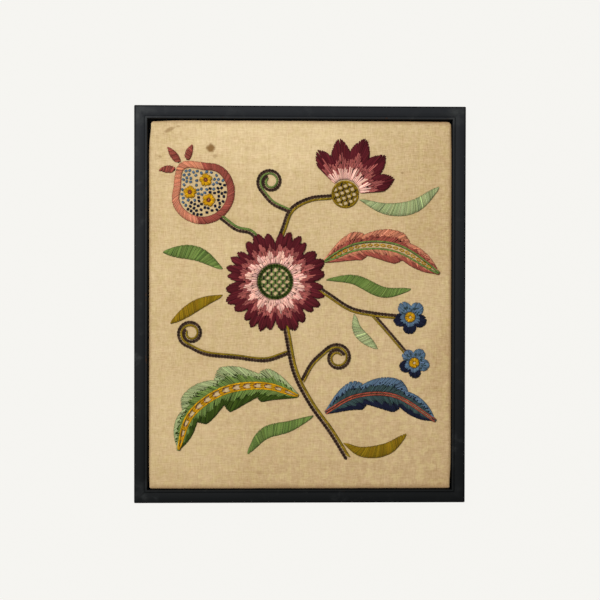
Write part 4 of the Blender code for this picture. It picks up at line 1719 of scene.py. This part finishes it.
@dataclass
class SeededFruit:
    """The fruit: a satin band round seeded linen, a crown of three leaves and three florets."""

    centre: Point = (-94.0, 108.0)
    heading: float = math.radians(128.0)
    radius: float = 31.0
    band: float = 7.0
    band_lean: float = 0.05
    band_lap: float = 0.16
    neck: Point = (0.12, 0.3)
    shoulder: tuple[float, float, float] = (0.1, 0.75, 0.4)
    crown: tuple[Point, ...] = ((-13, 15.0), (0, 18.0), (13, 15.0))
    crown_gap: float = 0.9
    crown_spread: float = 3.2
    crown_width: float = 7.0
    crown_root: float = 0.12
    crown_swell: Point = (1.0, 0.8)
    tip_width: float = 0.8
    florets: tuple[Point, ...] = ((-10.0, 0.0), (7.0, 9.6), (7.0, -9.6))
    floret_radius: float = 6.2
    seed_tries: int = 9000
    seed_gap: float = 3.3
    seed_half: float = 1.15
    seed_pair: float = 0.5

    def reach(self, angles: np.ndarray) -> np.ndarray:
        """How far the fruit reaches at angles from its heading.

        Args:
            angles: The angles, in radians.

        Returns:
            The reach at each.
        """
        neck = self.neck[0] * bell(angles, self.neck[1])
        shoulder = self.shoulder[0] * bell(np.abs(angles) - self.shoulder[1], self.shoulder[2])
        return self.radius * (1 + neck - shoulder)

    def work_band(self, loom: YarnTree) -> None:
        """Works the band: coral on its lit side and brick on the other.

        Args:
            loom: What makes the pieces.
        """
        work = Needlework("fruit_band_worked", 240)
        for wool, first, last in ((Wool.CORAL, -0.62, 2.35), (Wool.BRICK, 2.35, math.tau - 0.62)):
            angles = np.linspace(first - self.band_lap, last, 121)
            reach = self.reach((angles + math.pi) % math.tau - math.pi)
            strip = Strip.round(self.centre, reach - self.band, reach, self.heading + angles)
            work.layers(strip, (wool,), Band(wool, 0.0, 1.0, 0.02, 0.02, 0.0, 0.7, self.band_lean, lay=SATIN))
        work.sewn(loom, "coral_wool", "fruit_band")

    def work_crown(self, loom: YarnTree) -> None:
        """Works the crown's three leaves.

        Args:
            loom: What makes the pieces.
        """
        work = Needlework("fruit_crown_worked", 250)
        shares = np.linspace(0, 1, 31)
        for degrees, length in self.crown:
            lean = math.radians(degrees)
            root = polar(self.centre, float(self.reach(np.array(lean))) + self.crown_gap, self.heading + lean)
            ways = self.heading + lean * self.crown_spread + lean * shares
            grown = self.crown_root + (1 - self.crown_root) * shares
            width = np.maximum(self.crown_width * swell(grown, self.crown_swell), self.tip_width)
            leaf = Strip.along(root + polar((0, 0), length * shares, ways), width / 2)
            work.layers(leaf, (Wool.BRICK,), Band(Wool.BRICK, ragged_start=0.03, lean=0.16, lay=SATIN))
        work.sewn(loom, "brick_wool", *(f"fruit_crown_{number + 1}" for number in range(len(self.crown))))

    def floret_places(self) -> list[np.ndarray]:
        """The florets' centres.

        Returns:
            The centres, in the florets' order.
        """
        across = self.heading + math.pi / 2
        return [
            polar(polar(self.centre, forward, self.heading), aside, across)
            for forward, aside in self.florets
        ]

    def work_florets(self, loom: YarnTree) -> None:
        """Works each floret: five gold petals round a rust eye.

        Args:
            loom: What makes the pieces.
        """
        work = Needlework("fruit_florets_worked", 260)
        angles = np.linspace(0, math.tau, 121)
        for number, place in enumerate(self.floret_places()):
            lobes = np.abs(np.cos(2.5 * (angles + number))) ** 0.6
            petals = Strip.round(place, 2.0, self.floret_radius * (0.72 + 0.3 * lobes), angles)
            work.layers(petals, (Wool.GOLD,), Band(Wool.GOLD, 0.0, 1.0, 0.02, 0.05, 0.1, 0.8, lay=FINE))
            work.knot(place, Wool.CORAL, 0.6)
            work.knots(place, 1.5, Wool.RUST, 0.5)
        work.sewn(loom, "gold_wool", *(f"fruit_floret_{number + 1}" for number in range(len(self.florets))))

    def seeds(self, random: np.random.Generator) -> list[np.ndarray]:
        """Places over the bare ground, each a gap away from the others, the band and the florets.

        Args:
            random: The piece's random numbers.

        Returns:
            The places.
        """
        florets = self.floret_places()
        places: list[np.ndarray] = []
        for offset in random.uniform(-self.radius * 1.2, self.radius * 1.2, (self.seed_tries, 2)):
            angle = (math.atan2(offset[1], offset[0]) - self.heading + math.pi) % math.tau - math.pi
            place = np.array(self.centre) + offset
            if float(np.hypot(*offset)) > float(self.reach(np.array(angle))) - self.band - 1.5:
                continue
            if any(np.linalg.norm(place - other) < self.floret_radius + 1.4 for other in florets):
                continue
            if all(np.linalg.norm(place - other) > self.seed_gap for other in places):
                places.append(place)
        return places

    def work_seeds(self, loom: YarnTree) -> None:
        """Works a pair of short stitches for each seed: navy near the stem and blue beyond.

        Args:
            loom: What makes the pieces.
        """
        work = Needlework("fruit_seeding", 270)
        along = polar((0, 0), 1, self.heading)
        for place in self.seeds(work.random):
            angle = work.random.uniform(0, math.pi)
            way = polar((0, 0), self.seed_half, angle)
            aside = polar((0, 0), self.seed_pair, angle + math.pi / 2)
            inward = float((place - np.array(self.centre)) @ along) + work.random.normal(0, 3)
            wool = Wool.NAVY if inward < -2 else Wool.BLUE
            for spot in (place - aside, place + aside):
                work.stitch(spot - way, spot + way, wool, -0.1, 1.3)
        work.sewn(loom, "blue_wool")

    def build(self, loom: YarnTree) -> None:
        """Works the whole fruit."""
        for step in (self.work_band, self.work_crown, self.work_florets, self.work_seeds):
            step(loom)


@dataclass(frozen=True)
class BlueFlower:
    """A small blue flower's name, centre, radius and turn in degrees."""

    name: str
    centre: Point
    radius: float
    turn: float


@dataclass
class BlueFlowers:
    """The small flowers: blue petals above, navy ones below, round a gold centre."""

    flowers: tuple[BlueFlower, ...] = (
        BlueFlower("upper_blue_flower", (106, -12), 16.5, 15),
        BlueFlower("low_blue_flower", (110, -56), 15.0, 22),
    )
    petals: int = 5
    petal_depth: float = 0.44
    petal_swell: Point = (1.0, 0.6)
    inner: float = 5.4
    centre_radius: float = 4.8
    margin: float = 0.02

    def work_petals(self, loom: YarnTree, flower: BlueFlower, seed: int) -> None:
        """Works a flower's petals with a seed.

        Args:
            loom: What makes the pieces.
            flower: The flower.
            seed: The seed of its random numbers.
        """
        work = Needlework(f"{flower.name}_petals_worked", seed)
        shares = np.linspace(self.margin, 1 - self.margin, 31)
        reach = flower.radius * (1 - self.petal_depth * (1 - swell(shares, self.petal_swell)))
        for petal in range(self.petals):
            angles = math.tau / self.petals * (petal + shares) + math.radians(flower.turn)
            strip = Strip.round(flower.centre, self.inner, reach, angles)
            is_upper = math.sin(angles[len(angles) // 2]) > -0.25
            rim = Wool.BLUE if is_upper else Wool.NAVY
            rows = [
                Band(rim, 0.3, 1.0, 0.12, 0.04, 0.0, 0.8, lay=FINE),
                Band(Wool.BLUE, 0.0, 0.42, 0.0, 0.12, 0.25, 0.4, lay=FINE),
            ]
            if is_upper:
                rows.append(Specks(Wool.TEAL, (0.04, 0.5), 0.75, 1.25))
            work.layers(strip, (Wool.BLUE, rim), *rows, step=1.2)
        work.sewn(loom, "blue_wool", f"{flower.name}_petals")

    def work_centre(self, loom: YarnTree, flower: BlueFlower, seed: int) -> None:
        """Works a flower's gold centre with a seed: a ring of satin round a cluster of knots.

        Args:
            loom: What makes the pieces.
            flower: The flower.
            seed: The seed of its random numbers.
        """
        work = Needlework(f"{flower.name}_centre_worked", seed)
        ring = Strip.round(flower.centre, 1.6, self.centre_radius, np.linspace(0, math.tau, 61))
        work.layers(ring, (Wool.GOLD,), Band(Wool.GOLD, 0.0, 1.0, 0.05, 0.05, 0.2, 0.9, lay=FINE), step=1.2)
        work.knots(flower.centre, 2.0, Wool.GOLD, 0.55)
        work.sewn(loom, "gold_wool", f"{flower.name}_centre")

    def build(self, loom: YarnTree) -> None:
        """Works both flowers.

        Args:
            loom: What makes the pieces.
        """
        for number, flower in enumerate(self.flowers):
            self.work_petals(loom, flower, 280 + number)
            self.work_centre(loom, flower, 290 + number)


# Linen, board, frame and studio


@dataclass(frozen=True)
class Corner:
    """A corner of the lapped linen: its way from the middle, how far it is drawn in, and its rounding."""

    way_x: int
    way_y: int
    drawn_x: float
    drawn_y: float
    reach: float = 14.0
    radius: float = 3.0


@dataclass
class LinenGround:
    """The linen, lapped over the board and turned under it, with mitred corners."""

    opening: Point = (293.0, 356.0)
    gaps: tuple[float, float, float, float] = (1.4, 0.5, 1.5, 0.7)
    corners: tuple[Corner, ...] = (
        Corner(1, 1, 0.6, 0.2, 20.0, 4.2),
        Corner(-1, 1, 1.9, 1.0),
        Corner(-1, -1, 0.4, 0.1, radius=2.2),
        Corner(1, -1, 1.2, 0.1, 16.0, 1.4),
    )
    least_radius: float = 0.6
    corner_steps: int = 9
    draw_stations: tuple[float, ...] = (0.0, 2.0, 4.0, 7.0, 10.0, 14.0, 18.0, 23.0, 28.0, 34.0)
    side_steps: int = 40
    underside: float = 4.4
    turned: float = 16.0
    edge_roll: float = 1.3
    roll_steps: int = 5
    face_margin: float = 2.8
    thickness: float = 1.0
    slack: float = 0.12
    slack_waves: tuple[int, ...] = (17, 29, 43)

    @property
    def face(self) -> Point:
        """The width and the height of the lapped face, which the photograph shows."""
        left, right, top, bottom = self.gaps
        return self.opening[0] - left - right, self.opening[1] - top - bottom

    @property
    def flat(self) -> Point:
        """The cut cloth's size: the lapped face, with its sides and its turned margins laid flat.

        Returns:
            Its width and its length.
        """
        section = self.rings()
        run = sum(math.dist(near, far) for near, far in zip(section, section[1:]))
        beyond = 2 * (run - self.face_margin)
        return self.face[0] + beyond, self.face[1] + beyond

    def outline(self, inset: float) -> np.ndarray:
        """The lapped outline, inset all round, whose sides draw in towards rounded corners.

        Args:
            inset: How far in it lies.

        Returns:
            Its points, one row each.
        """
        parts = []
        stations = np.array(self.draw_stations)
        for corner in self.corners:
            radius = max(corner.radius - inset, self.least_radius)
            fade = np.exp(-((stations / corner.reach) ** 2))
            reach_x = self.opening[0] / 2 - inset - (self.gaps[1] if corner.way_x > 0 else self.gaps[0])
            reach_y = self.opening[1] / 2 - inset - (self.gaps[2] if corner.way_y > 0 else self.gaps[3])
            near_x = reach_x - corner.drawn_x - radius
            near_y = reach_y - corner.drawn_y - radius
            upright = np.column_stack([reach_x - corner.drawn_x * fade, near_y - stations])
            level = np.column_stack([near_x - stations, reach_y - corner.drawn_y * fade])
            arc = polar((near_x, near_y), radius, np.linspace(0, math.pi / 2, self.corner_steps + 1)[1:-1])
            points = np.vstack([upright[::-1], arc, level])
            if corner.way_x * corner.way_y < 0:
                points = points[::-1]
            parts.append(points * (corner.way_x, corner.way_y))
        closed = []
        for part, following in zip(parts, parts[1:] + parts[:1]):
            side = np.vstack([part[-1], following[0]])
            closed += [part, at_shares(side, np.linspace(0, 1, self.side_steps)[1:-1])]
        return np.vstack(closed)

    def rings(self) -> list[Point]:
        """The section from the face to the turned edge: how far in and how high each ring lies.

        Returns:
            Each ring's inset and height.
        """
        roll = self.edge_roll
        angles = np.linspace(0, math.pi / 2, self.roll_steps)
        turns = [(1 - math.sin(angle), 1 - math.cos(angle)) for angle in angles]
        over = [(roll * along, LINEN_FACE - roll * down) for along, down in turns]
        under = [(roll * down, self.underside + roll * along) for along, down in turns]
        return [(self.face_margin, LINEN_FACE), *over, *under, (self.turned, self.underside)]

    def build(self) -> None:
        """Makes the linen and dresses it."""
        section = self.rings()
        phases = np.random.default_rng(7).uniform(0, math.tau, len(self.slack_waves))
        outer = self.outline(0.0)
        steps = np.linspace(0, math.tau, len(outer), endpoint=False)
        waves = (np.sin(steps * wave + phase) for wave, phase in zip(self.slack_waves, phases))
        wobble = np.abs(sum(self.slack / 3 * wave for wave in waves))[:, None]
        base = self.outline(section[0][0])
        normal = (outer - base) / np.linalg.norm(outer - base, axis=1)[:, None]
        places = [np.column_stack([base, np.full(len(base), LINEN_FACE)])]
        cuts = [base]
        run = 0.0
        for near, (inset, height) in zip(section, section[1:]):
            run += math.dist(near, (inset, height))
            ring = self.outline(inset) - normal * wobble * (inset < self.turned)
            places.append(np.column_stack([ring, np.full(len(ring), height)]))
            cuts.append(base + normal * run)
        count = len(base)
        sides = [face[:1] + face[:0:-1] for face in bridged(len(section), count)]
        flat = np.vstack(cuts) / self.flat + 0.5
        finish = LinenFinish(self.flat, self.face).made()
        faces = [tuple(range(count)), *sides]
        mesh = skinned("linen_worked", np.vstack(places), faces, ("cut", flat), finish)
        linen = linked("linen_worked", mesh)
        thickness = linen.modifiers.new("thickness", "SOLIDIFY")
        thickness.thickness = self.thickness * MM
        thickness.offset = -1.0
        thickness.use_even_offset = True
        settled(linen, ["linen_ground"])
        width, length = self.flat
        width * MM
        length * MM


@dataclass
class MountBoard:
    """The board inside the linen, whose CAD node keeps its shape."""

    node: str = "mount_board"

    def build(self) -> None:
        """Gives the node its finish."""
        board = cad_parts[self.node]
        board.data.materials.clear()
        board.data.materials.append(BoardFinish().made())
        LOG.info("%s: its CAD node, newly dressed", self.node)


@dataclass
class EbonisedFrame:
    """Four rails of one moulding, mitred: a crowned face, a groove, an inner bead and a ledge behind."""

    width: float = 318.0
    height: float = 381.0
    depth: float = 15.0
    rail_width: float = 12.5
    ledge_reach: float = 20.5
    ledge_thickness: float = 4.1
    face_width: float = 10.0
    face_crown: float = 0.9
    face_steps: int = 18
    outer_ease: float = 0.5
    edge_line: float = 1.1
    ease_steps: int = 6
    groove_depth: float = 1.1
    bead_radius: float = 1.0
    bead_steps: int = 12
    mitre_gap: float = 0.02
    corner_ease: float = 1.0
    ease_shares: tuple[float, ...] = (1.0, 0.75, 0.5, 0.38)

    def section(self) -> tuple[np.ndarray, np.ndarray]:
        """The moulding from its outer back edge: distance inwards and height, and each point's share of wear
        and painted light: rubbed and chipped wear with a painted highlight on the bead, a painted sheen on the
        crowned face, painted shade in the groove and on the ledge, and the outer edge darkest.

        Returns:
            The places, and each one's share of wear and painted light.
        """
        face_edge = self.depth - self.face_crown
        bead_height = self.depth - self.groove_depth
        points = [
            # The ledge's shares of 0.1 give it painted recess shade.
            (0.0, 0.0, 0.2),
            (self.ledge_reach, 0.0, 0.2),
            (self.ledge_reach, self.ledge_thickness, 0.1),
            (self.rail_width, self.ledge_thickness, 0.1),
            (self.rail_width, bead_height - 0.6, 0.2),
        ]
        for angle in np.linspace(0, math.pi, self.bead_steps + 1):
            across = self.rail_width - self.bead_radius * (1 - math.cos(angle))
            rise = self.bead_radius * math.sin(angle)
            # The bead's top: rubbed wear and a painted highlight.
            points.append((across, bead_height + rise, 0.16 + 0.5 * math.sin(angle) ** 2))
        # The groove, in painted recess shade.
        points.append((self.face_width + 0.2, bead_height - 0.05, 0.11))
        points.append((self.face_width, bead_height + 0.1, 0.11))
        for step in range(self.face_steps + 1):
            share = 1 - step / self.face_steps
            across = self.outer_ease + (self.face_width - self.outer_ease) * share
            crown = 4 * share * (1 - share)
            # A painted sheen on the crown; the outermost strip of the face is left darkest.
            sheen_and_wear = (0.14 + 0.16 * crown) * (across > self.edge_line)
            points.append((across, face_edge + self.face_crown * crown, sheen_and_wear))
        # The outer ease is left darkest.
        for angle in np.linspace(0, math.pi / 2, self.ease_steps + 1)[1:]:
            across = self.outer_ease * (1 - math.sin(angle))
            points.append((across, face_edge - self.outer_ease * (1 - math.cos(angle)), 0.0))
        table = np.array(points)
        return table[:, :2], table[:, 2]

    def rail(self, side: str, length: float, turn: float, place: Point, finish: bpy.types.Material) -> None:
        """One rail.

        Args:
            side: The side that it is on, as its CAD node is named.
            length: Its outer length.
            turn: Its turn about Z, in degrees.
            place: The middle of its outer edge.
            finish: Its material.
        """
        section, wear_and_light = self.section()
        near_end = 1 - self.corner_ease * np.array(self.ease_shares) / (length / 2)
        stations = np.concatenate([[-1], -near_end[::-1], np.linspace(-1, 1, 13)[1:-1], near_end, [1]])
        rings = []
        for station in stations:
            past = (abs(station) - 1) * length / 2 + self.corner_ease
            past = min(max(past, 0), self.corner_ease * math.sqrt(0.5))
            eased = self.corner_ease - math.sqrt(self.corner_ease**2 - past**2)
            inset = np.maximum(section[:, 0], eased)
            reach = station * (length / 2 - inset - self.mitre_gap)
            rings.append(np.column_stack([reach, inset, section[:, 1]]))
        local = np.vstack(rings)
        cosine, sine = math.cos(math.radians(turn)), math.sin(math.radians(turn))
        flat = local[:, :2] @ np.array([[cosine, sine], [-sine, cosine]]) + place
        count = len(section)
        last = len(local) - count
        faces = [tuple(range(count))[::-1], tuple(range(last, len(local))), *bridged(len(stations), count)]
        around = np.concatenate([[0], np.cumsum(np.linalg.norm(np.diff(section, axis=0), axis=1))])
        way = np.column_stack([local[:, 0] + turn * 7 + 900, np.tile(around, len(stations))]) * MM
        name = f"frame_rail_{side}_moulding"
        mesh = skinned(name, np.column_stack([flat, local[:, 2]]), faces, ("moulding", way), finish)
        values = np.tile(wear_and_light, len(stations)).astype(np.float32)
        mesh.attributes.new("wear_and_light", "FLOAT", "POINT").data.foreach_set("value", values)
        mesh.set_sharp_from_angle(angle=math.radians(38))
        settled(linked(name, mesh), [f"frame_rail_{side}"])

    def build(self) -> None:
        """Makes the four rails."""
        finish = EbonisedFinish().made()
        self.rail("bottom", self.width, 0, (0, -self.height / 2), finish)
        self.rail("right", self.height, 90, (self.width / 2, 0), finish)
        self.rail("top", self.width, 180, (0, self.height / 2), finish)
        self.rail("left", self.height, -90, (-self.width / 2, 0), finish)


@dataclass
class Studio:
    """The pale floor, the soft light from the top left and the camera over the panel, in metres."""

    floor_half: float = 3.0
    floor_drop: float = 0.0002
    camera_place: Place = (-0.03015, 0.01817, 1.2)
    camera_turn: Place = (-0.664, -1.442, 0.099)
    lens: float = 74.18
    key_place: Place = (-1.3, 1.25, 2.4)
    key_size: float = 1.1
    key_power: float = 54.0
    sky: float = 0.32
    sky_tone: tuple[float, ...] = (1.0, 0.995, 0.985, 1.0)

    def build_floor(self) -> None:
        """Makes the floor that the panel lies on."""
        half = self.floor_half
        mesh = bpy.data.meshes.new("pale_floor")
        corners = [(-half, -half, 0.0), (half, -half, 0.0), (half, half, 0.0), (-half, half, 0.0)]
        mesh.from_pydata(corners, [], [(0, 1, 2, 3)])
        mesh.materials.append(FloorFinish().made())
        floor = linked("pale_floor", mesh)
        floor.location.z = -self.floor_drop
        floor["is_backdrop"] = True

    def build_light(self) -> None:
        """Sets a broad key light from the top left and an even sky."""
        key = bpy.data.lights.new("soft_key", "AREA")
        key.shape = "DISK"
        key.energy = self.key_power
        key.size = self.key_size
        lamp = linked("soft_key", key)
        lamp.location = Vector(self.key_place)
        lamp.rotation_euler = (-lamp.location).to_track_quat("-Z", "Y").to_euler()
        world = bpy.data.worlds.new("studio_sky")
        world.use_nodes = True
        back = world.node_tree.nodes["Background"]
        back.inputs["Color"].default_value = self.sky_tone
        back.inputs["Strength"].default_value = self.sky
        bpy.context.scene.world = world

    def build_camera(self) -> None:
        """Sets the camera straight above the panel, as the photograph was taken."""
        made = bpy.data.cameras.new("camera")
        made.lens = self.lens
        made.sensor_width = 36.0
        made.clip_start = 0.05
        made.clip_end = 20.0
        camera = linked("camera", made)
        camera.location = Vector(self.camera_place)
        camera.rotation_euler = Euler([math.radians(value) for value in self.camera_turn])
        bpy.context.scene.camera = camera

    def build(self) -> None:
        """Sets up the whole studio."""
        self.build_floor()
        self.build_light()
        self.build_camera()
        bpy.context.scene.view_settings.view_transform = "Standard"


def corners_of(bounds: Callable[[], tuple[Vector, Vector]]) -> list[list[float]]:
    """The lowest and the highest corner that a call gives, as plain lists."""
    return [[float(value) for value in corner] for corner in bounds()]


def main() -> None:
    """Builds the studio, the frame, the linen and every motif."""
    logging.basicConfig(level=logging.INFO, format="%(name)s: %(message)s")
    cad_box = corners_of(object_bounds)
    for step in (Studio(), EbonisedFrame(), MountBoard(), LinenGround()):
        step.build()
    loom = YarnTree(WoolFinish().made())
    plants = (Stems(), Tendrils(), LobedLeaves(), SickleLeaves())
    for motif in (*plants, RoundFlower(), FanFlower(), SeededFruit(), BlueFlowers()):
        motif.build(loom)
    json.dumps({"cad": cad_box, "visual": corners_of(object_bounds)})


if __name__ == "__main__":
    main()
